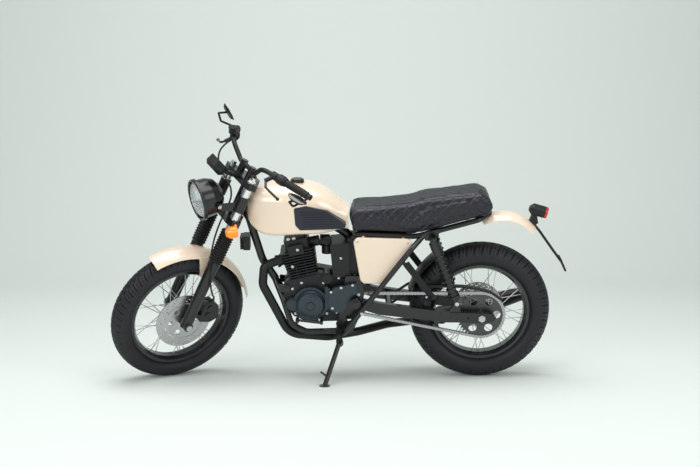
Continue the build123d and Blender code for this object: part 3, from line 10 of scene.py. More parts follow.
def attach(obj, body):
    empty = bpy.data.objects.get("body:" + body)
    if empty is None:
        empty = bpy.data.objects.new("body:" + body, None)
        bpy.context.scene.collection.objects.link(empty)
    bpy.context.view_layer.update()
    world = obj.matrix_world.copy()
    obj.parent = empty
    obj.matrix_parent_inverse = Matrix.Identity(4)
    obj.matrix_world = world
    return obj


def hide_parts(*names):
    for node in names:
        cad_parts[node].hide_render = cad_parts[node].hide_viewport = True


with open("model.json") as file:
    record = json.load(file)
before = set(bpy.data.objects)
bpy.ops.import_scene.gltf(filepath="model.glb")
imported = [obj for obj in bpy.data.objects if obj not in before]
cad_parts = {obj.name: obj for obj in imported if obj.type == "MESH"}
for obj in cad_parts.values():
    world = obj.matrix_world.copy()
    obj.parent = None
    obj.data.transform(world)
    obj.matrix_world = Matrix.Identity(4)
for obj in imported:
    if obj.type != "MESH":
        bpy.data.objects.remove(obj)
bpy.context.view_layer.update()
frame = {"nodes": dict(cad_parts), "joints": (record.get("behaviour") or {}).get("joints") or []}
joints = {joint["name"]: joint for joint in frame["joints"]}

# Driving sizes of the motorcycle, in metres, and its angles, in degrees
MM = 0.001
RAKE = 25.0
REAR_RADIUS = 325 * MM
FRONT_RADIUS = 322 * MM
FRONT_TYRE = {"crown": 54, "bead": 230, "bead_half": 30, "pitches": 58}
REAR_TYRE = {"crown": 65, "bead": 219, "bead_half": 40, "pitches": 52}
LAMP_ALONG, LAMP_AHEAD, LAMP_DROOP = 581.4, 125.5, 7.0
MIRROR_GLASS_RADIUS = 42
SEAT_VOXEL = 6 * MM
SEAT_PUFF = 6 * MM
WHEELBASE = 1400 * MM


# The upright motorcycle's own frame, found from its wheel and steering axes
def place_of(joint_name):
    joint = joints[joint_name]
    return Vector(joint["pos_m"]), Vector(joint["axis"]).normalized()


rear_axle, rider_left = place_of("rear_wheel_spin")
front_axle, wheel_left = place_of("front_wheel_spin")
steer_point, steer_down = place_of("steering_turn")
fork_up = -steer_down
fork_front = rider_left.cross(fork_up)
lean_back = math.radians(RAKE)
ahead = fork_front * math.cos(lean_back) - fork_up * math.sin(lean_back)
upward = fork_up * math.cos(lean_back) + fork_front * math.sin(lean_back)


def axes_at(x_axis, y_axis, z_axis, origin):
    """A matrix that takes local coordinates to the place of these axes."""
    turn = Matrix((x_axis, y_axis, z_axis)).transposed().to_4x4()
    return Matrix.Translation(origin) @ turn


BIKE = axes_at(ahead, rider_left, upward, rear_axle - upward * REAR_RADIUS)
steer_angle = rider_left.angle(wheel_left)
STEERED = (Matrix.Translation(steer_point) @ Matrix.Rotation(steer_angle, 4, fork_up)
           @ Matrix.Translation(-steer_point) @ BIKE)
PLACES = {"frame": BIKE, "rear_wheel": BIKE, "side_stand": BIKE, "steering": STEERED, "front_wheel": STEERED}


# Shader helpers
def new_group(name, inputs, outputs):
    """An empty shader node group with these sockets."""
    group = bpy.data.node_groups.new(name, "ShaderNodeTree")
    for socket, kind, value in inputs:
        made = group.interface.new_socket(name=socket, in_out="INPUT", socket_type=kind)
        if value is not None:
            made.default_value = value
    for socket, kind in outputs:
        group.interface.new_socket(name=socket, in_out="OUTPUT", socket_type=kind)
    return group, group.nodes.new("NodeGroupInput"), group.nodes.new("NodeGroupOutput")


def finish_group():
    """Colour mottling, roughness spread and a fine relief, for every hard finish."""
    group, given, made = new_group(
        "finish_variation",
        [("Color", "NodeSocketColor", (1, 1, 1, 1)), ("Mottle", "NodeSocketFloat", 0.1),
         ("Scale", "NodeSocketFloat", 20.0), ("Roughness", "NodeSocketFloat", 0.4),
         ("Spread", "NodeSocketFloat", 0.1), ("Relief", "NodeSocketFloat", 0.05),
         ("Relief Scale", "NodeSocketFloat", 900.0)],
        [("Color", "NodeSocketColor"), ("Roughness", "NodeSocketFloat"), ("Normal", "NodeSocketVector")])
    nodes, link = group.nodes, group.links.new
    place = nodes.new("ShaderNodeTexCoord")
    cloud = nodes.new("ShaderNodeTexNoise")
    link(place.outputs["Object"], cloud.inputs["Vector"])
    link(given.outputs["Scale"], cloud.inputs["Scale"])
    cloud.inputs["Detail"].default_value = 4
    centred = nodes.new("ShaderNodeMath")
    centred.operation = "SUBTRACT"
    link(cloud.outputs["Fac"], centred.inputs[0])
    centred.inputs[1].default_value = 0.5
    shade = nodes.new("ShaderNodeMath")
    shade.operation = "MULTIPLY_ADD"
    link(centred.outputs[0], shade.inputs[0])
    link(given.outputs["Mottle"], shade.inputs[1])
    shade.inputs[2].default_value = 1.0
    tint = nodes.new("ShaderNodeVectorMath")
    tint.operation = "SCALE"
    link(given.outputs["Color"], tint.inputs[0])
    link(shade.outputs[0], tint.inputs["Scale"])
    link(tint.outputs[0], made.inputs["Color"])
    rough = nodes.new("ShaderNodeMath")
    rough.operation = "MULTIPLY_ADD"
    link(centred.outputs[0], rough.inputs[0])
    link(given.outputs["Spread"], rough.inputs[1])
    link(given.outputs["Roughness"], rough.inputs[2])
    link(rough.outputs[0], made.inputs["Roughness"])
    grain = nodes.new("ShaderNodeTexNoise")
    link(place.outputs["Object"], grain.inputs["Vector"])
    link(given.outputs["Relief Scale"], grain.inputs["Scale"])
    bump = nodes.new("ShaderNodeBump")
    bump.inputs["Distance"].default_value = 0.0004
    link(given.outputs["Relief"], bump.inputs["Strength"])
    link(grain.outputs["Fac"], bump.inputs["Height"])
    link(bump.outputs["Normal"], made.inputs["Normal"])
    return group


FINISH = finish_group()


def finish(name, color, roughness, metallic=0.0, coat=0.0, mottle=0.1, scale=20.0, spread=0.1, relief=0.05,
           relief_scale=900.0, transmission=0.0, ior=1.5, sheen=0.5, emission=None):
    """A material whose colour, roughness and relief come through the shared finish group."""
    material = bpy.data.materials.new(name)
    material.use_nodes = True
    nodes, link = material.node_tree.nodes, material.node_tree.links.new
    shader = nodes["Principled BSDF"]
    vary = nodes.new("ShaderNodeGroup")
    vary.node_tree = FINISH
    values = {"Color": (*color, 1), "Mottle": mottle, "Scale": scale, "Roughness": roughness, "Spread": spread,
              "Relief": relief, "Relief Scale": relief_scale}
    for socket, value in values.items():
        vary.inputs[socket].default_value = value
    link(vary.outputs["Color"], shader.inputs["Base Color"])
    link(vary.outputs["Roughness"], shader.inputs["Roughness"])
    link(vary.outputs["Normal"], shader.inputs["Normal"])
    shader.inputs["Metallic"].default_value = metallic
    shader.inputs["Specular IOR Level"].default_value = sheen
    shader.inputs["Coat Weight"].default_value = coat
    shader.inputs["Coat Roughness"].default_value = 0.05
    shader.inputs["Transmission Weight"].default_value = transmission
    shader.inputs["IOR"].default_value = ior
    if emission:
        shader.inputs["Emission Color"].default_value = (*emission, 1)
        shader.inputs["Emission Strength"].default_value = 0.4
    return material


CREAM = finish("cream_gloss_paint", (0.86, 0.70, 0.55), 0.2, coat=1.0, mottle=0.04, spread=0.04, relief=0.02)
BLACK = finish("satin_black_paint", (0.006, 0.006, 0.007), 0.3, coat=0.2, mottle=0.3)
MATT_BLACK = finish("matt_black_paint", (0.007, 0.007, 0.008), 0.45, mottle=0.3, relief=0.2, sheen=0.4)
ENGINE_BLACK = finish("cast_engine_black", (0.010, 0.010, 0.012), 0.42, metallic=0.2, sheen=0.45, mottle=0.4,
                      relief=0.5)
COVER_GREY = finish("engine_cover_grey", (0.035, 0.05, 0.062), 0.38, metallic=0.5, mottle=0.2, relief=0.3)
PLASTIC = finish("moulded_black_plastic", (0.008, 0.008, 0.009), 0.45, sheen=0.4, mottle=0.3, relief=0.3)
RUBBER = finish("black_rubber", (0.008, 0.008, 0.009), 0.55, sheen=0.35, mottle=0.3, relief=0.3)
TYRE = finish("tyre_rubber", (0.008, 0.009, 0.012), 0.5, sheen=0.4, mottle=0.4, scale=9, relief=0.35,
              relief_scale=500)
PAD = finish("knee_pad_rubber", (0.010, 0.013, 0.024), 0.42, mottle=0.2, relief=0.3)
LEATHER = finish("seat_leather", (0.008, 0.008, 0.016), 0.34, mottle=0.3, relief=0.9, relief_scale=420)
STEEL = finish("brushed_steel", (0.55, 0.55, 0.56), 0.32, metallic=1.0, mottle=0.15, relief=0.2)
CHAIN = finish("chain_steel", (0.42, 0.42, 0.43), 0.36, metallic=1.0, mottle=0.5, scale=200)
CHROME = finish("bright_chrome", (0.8, 0.8, 0.82), 0.1, metallic=1.0, mottle=0.03, spread=0.03, relief=0.0)
BRIGHT = finish("bright_bolt_steel", (0.62, 0.62, 0.63), 0.25, metallic=1.0)
DARK_STEEL = finish("dark_sprocket_steel", (0.09, 0.09, 0.095), 0.35, metallic=0.9)
SPOKE = finish("bright_spoke_steel", (0.7, 0.7, 0.71), 0.22, metallic=1.0)
RIM = finish("gloss_black_rim", (0.008, 0.008, 0.01), 0.25, coat=0.5)
GLASS = finish("lamp_glass", (0.93, 0.95, 0.96), 0.04, transmission=1.0, mottle=0.0, relief=0.0)
AMBER = finish("amber_lens", (0.85, 0.25, 0.01), 0.2, coat=0.6, emission=(0.8, 0.2, 0.01))
RED = finish("red_lens", (0.5, 0.008, 0.012), 0.2, coat=0.6)

NODE_FINISH = {
    CREAM: ["fuel_tank", "side_covers", "front_fender", "rear_fender"],
    BLACK: ["frame", "swingarm", "side_stand", "fork_sliders", "triple_clamps", "headlight_shell",
            "headlight_brackets", "shock_absorbers", "levers", "tank_cap", "front_caliper", "foot_controls"],
    MATT_BLACK: ["header_pipe", "muffler", "handlebar", "plate_bracket"],
    ENGINE_BLACK: ["crankcase", "cylinder", "cylinder_head", "carburettor", "regulator"],
    COVER_GREY: ["engine_covers"],
    PLASTIC: ["bar_controls", "mirrors", "gauge", "air_box", "chain_guard", "inner_fender", "tail_lamp"],
    RUBBER: ["fork_gaiters", "handgrips", "footpegs", "brake_hose"],
    TYRE: ["front_tyre", "rear_tyre"],
    PAD: ["knee_pads"],
    LEATHER: ["seat"],
    STEEL: ["front_brake_disc", "rear_brake_disc", "front_axle", "rear_axle"],
    CHAIN: ["chain"],
    DARK_STEEL: ["rear_sprocket", "front_sprocket"],
    CHROME: ["fork_stanchions"],
    SPOKE: ["front_hub", "rear_hub"],
    RIM: ["front_rim", "rear_rim"],
    GLASS: ["headlight_lens"],
    AMBER: ["front_indicators"],
    RED: ["tail_lamp_lens"],
}
for material, names in NODE_FINISH.items():
    for name in names:
        if name in frame["nodes"]:
            node = frame["nodes"][name]
            node.data.materials.clear()
            node.data.materials.append(material)


# Helpers that lay a piece on the solids, in each body's own upright coordinates in millimetres
def to_world(body):
    """A matrix from a body's upright millimetres to its place in the frame."""
    return PLACES[body] @ Matrix.Scale(MM, 4)


def local_tree(name, body, source=None):
    """A search tree over a solid, in its body's upright coordinates."""
    mesh = (source or frame["nodes"][name]).data
    back = to_world(body).inverted()
    verts = [back @ vert.co for vert in mesh.vertices]
    return BVHTree.FromPolygons(verts, [tuple(face.vertices) for face in mesh.polygons])


def cast_side(tree, x, z, side=1):
    """The outermost point of a solid seen from the rider's left (side 1) or right (side -1)."""
    place, normal, _, _ = tree.ray_cast(Vector((x, side * 600, z)), Vector((0, -side, 0)))
    return place, normal


def build(name, body, verts, faces, material, sharp=35):
    """A piece of these faces that rides with its body and takes its finish from a slot."""
    mesh = bpy.data.meshes.new(name)
    place = to_world(body)
    mesh.from_pydata([place @ Vector(vert) for vert in verts], [], faces)
    mesh.validate()
    mesh.shade_smooth()
    mesh.set_sharp_from_angle(angle=math.radians(sharp))
    mesh.materials.append(material)
    piece = bpy.data.objects.new(name, mesh)
    bpy.context.scene.collection.objects.link(piece)
    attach(piece, body)
    return piece


def ring_faces(rings, count, closed=False, cap=False):
    """The faces of a skin through rings of count points each."""
    faces = []
    for k in range(rings if closed else rings - 1):
        low, high = k * count, (k + 1) % rings * count
        faces += [(low + j, low + (j + 1) % count, high + (j + 1) % count, high + j) for j in range(count)]
    if cap:
        faces.append(tuple(reversed(range(count))))
        faces.append(tuple(range((rings - 1) * count, rings * count)))
    return faces


def tube_skin(path, radius, count=8):
    """The points of a round tube that follows a path."""
    verts = []
    side = None
    for k, point in enumerate(path):
        along = (path[min(k + 1, len(path) - 1)] - path[max(k - 1, 0)]).normalized()
        if side is None:
            side = along.orthogonal().normalized()
        side = (side - along * side.dot(along)).normalized()
        other = along.cross(side)
        for j in range(count):
            turn = 2 * math.pi * j / count
            verts.append(point + side * (radius * math.cos(turn)) + other * (radius * math.sin(turn)))
    return verts


def tubes(name, body, paths, radius, material, count=8):
    """One piece of round tubes, each along its own path."""
    verts, faces = [], []
    for path in paths:
        skin = ring_faces(len(path), count, cap=True)
        faces += [tuple(len(verts) + index for index in face) for face in skin]
        verts += tube_skin(path, radius, count)
    return build(name, body, verts, faces, material)


def bolts(name, body, places, material):
    """Bolt heads with washers: each place is a point, its outward axis, and the head's radius and height."""
    verts, faces = [], []
    for point, axis, radius, height in places:
        first = axis.orthogonal().normalized()
        second = axis.cross(first)
        washer = (20, ((1.35, -0.6), (1.35, 0.5), (1.2, 0.8)))
        head = (6, ((1.0, 0.2), (1.0, 0.85 * height), (0.86, height)))
        crown = (12, ((0.5, height - 1.2), (0.5, height + 0.2), (0.42, height + 0.35)))
        for count, steps in (washer, head, crown):
            start = len(verts)
            for share, level in steps:
                for j in range(count):
                    turn = 2 * math.pi * j / count
                    spoke = first * math.cos(turn) + second * math.sin(turn)
                    verts.append(point + axis * level + spoke * (radius * share))
            skin = ring_faces(3, count, cap=True)
            faces += [tuple(start + index for index in face) for face in skin]
    return build(name, body, verts, faces, material, 25)


# Tyres with blocks between lateral grooves
def three_point_arc(start, middle, end, steps):
    """Points of the circle through three points, from start to end."""
    ax, ay, bx, by, cx, cy = *start, *middle, *end
    twice = 2 * (ax * (by - cy) + bx * (cy - ay) + cx * (ay - by))
    a2, b2, c2 = ax * ax + ay * ay, bx * bx + by * by, cx * cx + cy * cy
    ux = (a2 * (by - cy) + b2 * (cy - ay) + c2 * (ay - by)) / twice
    uy = (a2 * (cx - bx) + b2 * (ax - cx) + c2 * (bx - ax)) / twice
    radius = math.hypot(ax - ux, ay - uy)
    first = math.atan2(ay - uy, ax - ux)
    total = math.remainder(math.atan2(cy - uy, cx - ux) - first, 2 * math.pi)
    turns = [first + total * k / steps for k in range(steps + 1)]
    return [(ux + radius * math.cos(turn), uy + radius * math.sin(turn)) for turn in turns]


def groove_depth(across, share, crown):
    """How deep the tread is cut, from 0 to 1: slanted grooves, and one that winds round the middle."""
    reach = abs(across) / crown
    side = 1 if across > 0 else -1
    slant = (share + 0.55 * reach + (0.5 if side > 0 else 0)) % 1.0
    lateral = smooth_step(0.41, 0.47, abs(slant - 0.5)) * smooth_step(0.10, 0.2, reach)
    fine = smooth_step(0.44, 0.485, abs((slant + 0.5) % 1.0 - 0.5)) * smooth_step(0.42, 0.5, reach)
    middle = 0.14 + 0.07 * math.sin(2 * math.pi * share + (math.pi if side > 0 else 0))
    winding = 1 - smooth_step(0.035, 0.06, abs(reach - middle))
    return max(lateral, winding, 0.6 * fine) * (1 - smooth_step(0.93, 0.97, reach))


def smooth_step(low, high, value):
    share = min(max((value - low) / (high - low), 0.0), 1.0)
    return share * share * (3 - 2 * share)


def treaded_tyre(name, body, centre, radius, crown, bead, bead_half, pitches):
    """The tyre's outside with its tread, closed by a plain inside."""
    shoulder = math.radians(58.0)
    ring = radius - crown
    belly, lip = ring - 12, bead + 9
    groove, around = 5.0, 12
    edge = (ring + crown * math.cos(shoulder), crown * math.sin(shoulder))
    wall = three_point_arc((lip, bead_half), (belly, crown - 1.5), edge, 9)
    tread = three_point_arc(edge, (radius, 0), (edge[0], -edge[1]), 44)
    mirrored_wall = [(r, -y) for r, y in reversed(wall)]
    toe, side_wall, tread_wall = 12, 11, 17
    inside = [(bead, -bead_half), (bead, toe - bead_half), (ring, -crown + side_wall), (radius - tread_wall, 0),
              (ring, crown - side_wall), (bead, bead_half - toe), (bead, bead_half)]
    outline = wall[:-1] + tread + mirrored_wall[1:] + inside
    low, high = len(wall) - 4, len(wall) + len(tread) + 2
    steps = pitches * around
    verts = []
    for k in range(steps):
        turn = 2 * math.pi * k / steps
        share = k / around % 1.0
        for j, (r, y) in enumerate(outline):
            if low <= j <= high:
                away = Vector((r - ring, y)).normalized()
                depth = groove * groove_depth(y, share, crown)
                r, y = r - away.x * depth, y - away.y * depth
            verts.append((centre[0] + r * math.cos(turn), y, centre[1] + r * math.sin(turn)))
    faces = ring_faces(steps, len(outline), closed=True)
    return build(name, body, verts, faces, TYRE, 40)


def tyres():
    front, rear = FRONT_RADIUS / MM, REAR_RADIUS / MM
    for side, axle, radius, sizes in (("front", WHEELBASE / MM, front, FRONT_TYRE), ("rear", 0, rear, REAR_TYRE)):
        tyre = treaded_tyre(f"{side}_tyre_tread", f"{side}_wheel", (axle, radius), radius, **sizes)
        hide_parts(f"{side}_tyre")


# The seat: a stuffed cushion whose cover is quilted in diamonds on the sides and in lines along the top
def baked(piece):
    """A piece's mesh with its modifiers applied."""
    depsgraph = bpy.context.evaluated_depsgraph_get()
    return bpy.data.meshes.new_from_object(piece.evaluated_get(depsgraph))


def swollen(cushion):
    """The cushion's mesh after a short cloth run under inner pressure."""
    cloth = cushion.modifiers.new("stuffing", "CLOTH")
    cloth.settings.quality = 6
    cloth.settings.use_pressure = True
    cloth.settings.uniform_pressure_force = 4
    cloth.settings.effector_weights.gravity = 0
    cloth.point_cache.frame_start, cloth.point_cache.frame_end = 1, 20
    for step in range(1, 21):
        bpy.context.scene.frame_set(step)
    mesh = baked(cushion)
    cushion.modifiers.remove(cloth)
    bpy.context.scene.frame_set(1)
    return mesh


def quilted_seat():
    """The padded and quilted cushion in the place of the plain seat."""
    cushion = bpy.data.objects.new("quilted_seat", frame["nodes"]["seat"].data.copy())
    bpy.context.scene.collection.objects.link(cushion)
    grid = cushion.modifiers.new("grid", "REMESH")
    grid.mode, grid.voxel_size = "VOXEL", SEAT_VOXEL
    rest = baked(cushion)
    cushion.modifiers.remove(grid)
    cushion.data = rest
    before = [vert.co.copy() for vert in rest.vertices]
    full = swollen(cushion)
    for vert, start in zip(full.vertices, before):
        move = vert.co - start
        if move.length > SEAT_PUFF:
            vert.co = start + move.normalized() * SEAT_PUFF
    cushion.data = full
    finer = cushion.modifiers.new("finer", "SUBSURF")
    finer.levels = 1
    cushion.data = baked(cushion)
    cushion.modifiers.remove(finer)
    mesh = cushion.data
    back = to_world("frame").inverted()
    turn = back.to_3x3().normalized()
    normals = [vert.normal.copy() for vert in mesh.vertices]
    for vert, outward in zip(mesh.vertices, normals):
        depth = seam_depth(back @ vert.co, (turn @ outward).normalized())
        vert.co -= outward * (depth * MM)
    mesh.materials.clear()
    mesh.materials.append(LEATHER)
    mesh.shade_smooth()
    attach(cushion, "frame")
    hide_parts("seat")
    return cushion


def seam_line(value, spacing, width):
    """1 on a line that comes back every spacing, 0 away from it."""
    away = abs((value / spacing + 0.5) % 1.0 - 0.5) * spacing
    return math.exp(-(away / width) ** 2)


def seam_depth(local, normal):
    """The quilting's depth in millimetres: diamonds at the sides and the rear, lines along the top."""
    top = smooth_step(0.72, 0.9, normal.z)
    side = 1 - top
    below = smooth_step(0.3, 0.6, -normal.z)
    rise = 1.1 * (local.z - (806 + (592 - local.x) * 0.075))
    diamonds = max(seam_line(local.x + rise, 46, 3.0), seam_line(local.x - rise, 46, 3.0))
    lines = seam_line(local.y, 22, 2.2)
    return ((3.4 * diamonds - 0.8) * side + (2.4 * lines - 0.5) * top) * (1 - below)


def seat_strap(cushion):
    """The narrow strap across the seat."""
    tree = local_tree("seat", "frame", cushion)
    section = ((270, -1), (270, 2.2), (288, 2.2), (288, -1))
    steps, reach = 48, 400
    verts = []
    for k in range(steps + 1):
        turn = math.pi * (-0.06 + 1.12 * k / steps)
        for x, lift in section:
            middle = Vector((x, 0, 800))
            start = Vector((x, reach * math.cos(turn), middle.z + reach * math.sin(turn)))
            place = tree.ray_cast(start, middle - start)[0] or middle
            verts.append(place + (start - middle).normalized() * lift)
    build("seat_strap", "frame", verts, ring_faces(steps + 1, len(section), cap=True), LEATHER)


# Knee pads, ribbed behind their smooth front
def pad_ribs():
    """Ribs along both knee pads, the upper two set further forward."""
    ribs, lowest, spacing, rear_end = 7, 766, 11, 640
    paths = []
    tree = local_tree("knee_pads", "frame")
    for side in (1, -1):
        for k in range(ribs):
            z = lowest + spacing * k
            path = []
            for step in range(31):
                x = rear_end + 5.5 * step + (70 - 9 * k if k > 4 else 0)
                place, normal = cast_side(tree, x, z, side)
                if place is not None and abs(normal.y) > 0.55 and abs(place.y) > 92:
                    path.append(place)
            if len(path) > 5:
                paths.append(path)
    tubes("knee_pad_ribs", "frame", paths, 2.3, PAD)


# Bolt heads on the engine, the frame and the fork
ALTERNATOR_AT, ALTERNATOR_BOLTS = (780, 385), 61
ENGINE_BOLTS = [("engine_covers", ALTERNATOR_AT[0] + ALTERNATOR_BOLTS * math.cos(math.radians(a)),
                 ALTERNATOR_AT[1] + ALTERNATOR_BOLTS * math.sin(math.radians(a)), 4.5)
                for a in (20, 75, 130, 190, 250, 305)]
COVER_BOLTS = [(588, 484), (610, 372), (680, 374), (686, 452), (640, 472)]
CASE_BOLTS = [(706, 330), (740, 300), (850, 330), (868, 400), (862, 450), (820, 478), (720, 478), (660, 335),
              (590, 500), (650, 500)]
ENGINE_BOLTS += [("engine_covers", x, z, 4.5) for x, z in COVER_BOLTS]
ENGINE_BOLTS += [("crankcase", x, z, 4.5) for x, z in CASE_BOLTS]
ENGINE_BOLTS += [("cylinder_head", 878, 680, 6.5), ("cylinder_head", 853, 684, 6.5),
                 ("cylinder_head", 836, 640, 5), ("cylinder", 860, 560, 5), ("carburettor", 690, 622, 4),
                 ("air_box", 640, 600, 4)]
FRAME_BOLTS = [("frame", 575, 396, 12), ("frame", 648, 250, 6), ("frame", 560, 430, 5.5), ("frame", 548, 360, 5.5),
               ("frame", 930, 470, 6), ("frame", 905, 300, 6), ("shock_absorbers", 228, 699, 8),
               ("shock_absorbers", 114.9, 396.1, 7), ("chain_guard", 250, 415, 4), ("chain_guard", 90, 420, 4),
               ("side_covers", 566, 690, 4), ("side_covers", 340, 684, 4), ("rear_fender", -20, 770, 4)]
FORK_BOLTS = [("front_caliper", 1352, 402, 6), ("front_caliper", 1330, 452, 6), ("fork_sliders", 1400, 322, 6),
              ("headlight_brackets", 1240, 900, 6.5), ("front_fender", 1330, 640, 4.5),
              ("front_fender", 1270, 560, 4.5), ("triple_clamps", 1150, 800, 5)]


def all_bolts():
    """Each bolt of the tables, on every side where a ray meets its solid squarely."""
    for name, body, table in (("engine_bolts", "frame", ENGINE_BOLTS), ("frame_bolts", "frame", FRAME_BOLTS),
                              ("fork_bolts", "steering", FORK_BOLTS)):
        trees, places = {}, []
        for node, x, z, radius in table:
            if node not in trees:
                trees[node] = local_tree(node, body)
            for side in (1, -1):
                place, normal = cast_side(trees[node], x, z, side)
                if place is not None and abs(normal.y) > 0.9:
                    places.append((place, Vector((0, side, 0)), radius, 0.75 * radius))
        bolts(name, body, places, BRIGHT)


# Headlight: a silver reflector and a bulb behind ribbed glass
def steered_point(along, ahead_of=0.0):
    """A point by its distance up the fork line from the front axle, and in front of it."""
    rake = math.radians(RAKE)
    return Vector((WHEELBASE / MM - math.sin(rake) * along + math.cos(rake) * ahead_of, 0,
                   FRONT_RADIUS / MM + math.cos(rake) * along + math.sin(rake) * ahead_of))


def lamp_parts():
    """The reflector, the bulb, and ribbed glass in the place of the plain lens."""
    centre = steered_point(LAMP_ALONG, LAMP_AHEAD)
    droop = math.radians(LAMP_DROOP)
    out = Vector((math.cos(droop), 0, -math.sin(droop)))
    up = Vector((math.sin(droop), 0, math.cos(droop)))
    left = Vector((0, 1, 0))
    back = to_world("steering").inverted()
    verts = [back @ vert.co - centre for vert in frame["nodes"]["headlight_lens"].data.vertices]
    front = max(vert.dot(out) for vert in verts)
    rim = max((vert - out * vert.dot(out)).length for vert in verts)
    rear = min(vert.dot(out) for vert in verts)
    count = 64

    def spun(profile):
        return [centre + out * ahead_of + (left * math.cos(2 * math.pi * j / count)
                                           + up * math.sin(2 * math.pi * j / count)) * radius
                for radius, ahead_of in profile for j in range(count)]

    depth = 52
    shares = (0.02, 0.15, 0.3, 0.45, 0.6, 0.75, 0.88, 0.97)
    bowl = [(rim * share, rear - 3 - depth * (1 - share * share)) for share in shares]
    build("headlight_reflector", "steering", spun(bowl), ring_faces(len(bowl), count), CHROME)
    bulb = [(0.5, rear - 54), (7, rear - 54), (7, rear - 30), (4, rear - 24), (0.5, rear - 22)]
    build("headlight_bulb", "steering", spun(bulb), ring_faces(len(bulb), count), STEEL)
    side = 120
    grid, faces = [], []
    radius = rim - 1.0
    sag = front - rear - 1.5
    rib_pitch, rib_height = 11, 0.55
    for row in range(side + 1):
        for column in range(side + 1):
            u, v = 2 * column / side - 1, 2 * row / side - 1
            y, z = u * math.sqrt(1 - v * v / 2), v * math.sqrt(1 - u * u / 2)
            rim_fade = 1 - smooth_step(0.85, 0.95, math.hypot(y, z))
            rib = rib_height * math.cos(2 * math.pi * y * radius / rib_pitch) * rim_fade
            dome = rear + 1 + sag * (1 - (y * y + z * z)) * 0.94 + rib
            grid.append(centre + out * dome + left * (y * radius) + up * (z * radius))
            if row < side and column < side:
                first = row * (side + 1) + column
                faces.append((first, first + 1, first + side + 2, first + side + 1))
    glass = build("ribbed_headlight_glass", "steering", grid, faces, GLASS, 60)
    thick = glass.modifiers.new("thickness", "SOLIDIFY")
    thick.thickness = 1.5 * MM
    thick.offset = -1
    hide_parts("headlight_lens")


# Flat faces: the mirrors' glass
def flat_faces(node, body, least):
    """The large flat faces of a solid, as (centre, normal) in the body's coordinates."""
    mesh = frame["nodes"][node].data
    back = to_world(body).inverted()
    groups = {}
    for face in mesh.polygons:
        points = [back @ mesh.vertices[index].co for index in face.vertices]
        normal = (points[1] - points[0]).cross(points[2] - points[0])
        if normal.length < 1e-6:
            continue
        area, normal = normal.length / 2, normal.normalized()
        plane = (*(round(value, 2) for value in normal), round(points[0].dot(normal)))
        groups.setdefault(plane, []).append((area, normal, points))
    found = []
    for rows in groups.values():
        if sum(row[0] for row in rows) > least:
            corners = [point for row in rows for point in row[2]]
            lowest = Vector([min(point[k] for point in corners) for k in range(3)])
            highest = Vector([max(point[k] for point in corners) for k in range(3)])
            found.append(((lowest + highest) / 2, rows[0][1]))
    return found


def round_glass(name, body, centre, normal, radius, material, count=48):
    """A thin disc with a bevelled rim, laid on a flat face."""
    first = normal.orthogonal().normalized()
    second = normal.cross(first)
    profile = [(radius, -0.5), (radius, 0.6), (radius - 1.5, 0.9), (0.3, 1.1)]
    turns = [2 * math.pi * j / count for j in range(count)]
    verts = [centre + normal * level + (first * math.cos(turn) + second * math.sin(turn)) * r
             for r, level in profile for turn in turns]
    build(name, body, verts, ring_faces(len(profile), count, cap=True), material)


def mirror_glass():
    least = 4500
    for index, (centre, normal) in enumerate(flat_faces("mirrors", "steering", least)):
        round_glass(f"mirror_glass_{index}", "steering", centre, normal, MIRROR_GLASS_RADIUS, CHROME)


# The studio: a pale floor that turns into the backdrop, soft lights, and the photograph's camera
def studio():
    floor_size, wall_at, bend = 14.0, -5.0, 2.0
    profile = [(9.0, 0.0), (wall_at + bend, 0.0)]
    for step in range(1, 13):
        turn = math.pi / 2 * step / 12
        profile.append((wall_at + bend - bend * math.sin(turn), bend - bend * math.cos(turn)))
    profile.append((wall_at, 7.0))
    mesh = bpy.data.meshes.new("studio_sweep")
    verts = [(side * floor_size, y, z) for y, z in profile for side in (-1, 1)]
    faces = [(2 * k, 2 * k + 1, 2 * k + 3, 2 * k + 2) for k in range(len(profile) - 1)]
    mesh.from_pydata(verts, [], faces)
    mesh.shade_smooth()
    sweep = bpy.data.objects.new("studio_sweep", mesh)
    bpy.context.scene.collection.objects.link(sweep)
    paint = finish("studio_paint", (0.76, 0.81, 0.775), 0.85, mottle=0.02, scale=0.5, relief=0.0)
    mesh.materials.append(paint)


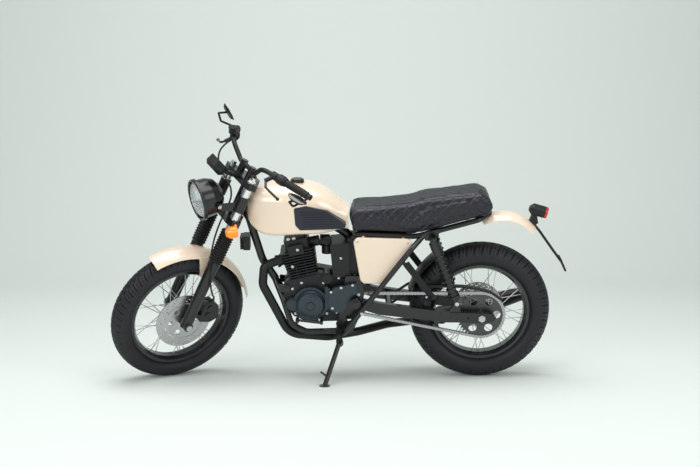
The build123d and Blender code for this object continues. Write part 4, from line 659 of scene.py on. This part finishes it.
def soft_light(name, place, aim, size, power, tint=(1, 1, 1)):
    lamp = bpy.data.lights.new(name, "AREA")
    lamp.shape = "RECTANGLE"
    lamp.size, lamp.size_y = size
    lamp.energy = power
    lamp.color = tint
    lamp_object = bpy.data.objects.new(name, lamp)
    lamp_object.location = place
    lamp_object.rotation_euler = (Vector(aim) - Vector(place)).to_track_quat("-Z", "Y").to_euler()
    bpy.context.scene.collection.objects.link(lamp_object)


def lights_and_world():
    soft_light("overhead_softbox", (0.3, 0.6, 4.2), (0, 0, 0.4), (4.5, 3.0), 150)
    soft_light("camera_side_softbox", (2.8, 4.6, 2.4), (0.2, 0, 0.6), (3.0, 2.2), 90)
    soft_light("rear_side_softbox", (-3.6, 3.2, 2.2), (-0.3, 0, 0.6), (2.4, 2.2), 55)
    soft_light("wall_softbox", (-0.2, -1.6, 4.0), (-0.8, -5.0, 2.2), (3.5, 1.5), 28)
    world = bpy.data.worlds.new("studio_air")
    bpy.context.scene.world = world
    world.use_nodes = True
    background = world.node_tree.nodes["Background"]
    background.inputs["Color"].default_value = (0.86, 0.9, 0.89, 1)
    background.inputs["Strength"].default_value = 0.42


CAMERA_FROM_REAR_AXLE = (651.5 * MM, 6119.9 * MM, 1020.9 * MM)
CAMERA_YAW, CAMERA_DOWN, LENS = -0.49, 6.23, 68.66


def camera():
    lens = bpy.data.cameras.new("photograph_camera")
    lens.lens = LENS
    lens.sensor_width = 36.0
    view = bpy.data.objects.new("photograph_camera", lens)
    view.location = rear_axle + Vector(CAMERA_FROM_REAR_AXLE)
    yaw, down = math.radians(CAMERA_YAW), math.radians(CAMERA_DOWN)
    look = Vector((math.sin(yaw) * math.cos(down), -math.cos(yaw) * math.cos(down), -math.sin(down)))
    view.rotation_euler = look.to_track_quat("-Z", "Y").to_euler()
    bpy.context.scene.collection.objects.link(view)
    bpy.context.scene.camera = view


tyres()
seat_strap(quilted_seat())
pad_ribs()
all_bolts()
lamp_parts()
mirror_glass()
studio()
lights_and_world()
camera()
bpy.context.scene.view_settings.view_transform = "Standard"
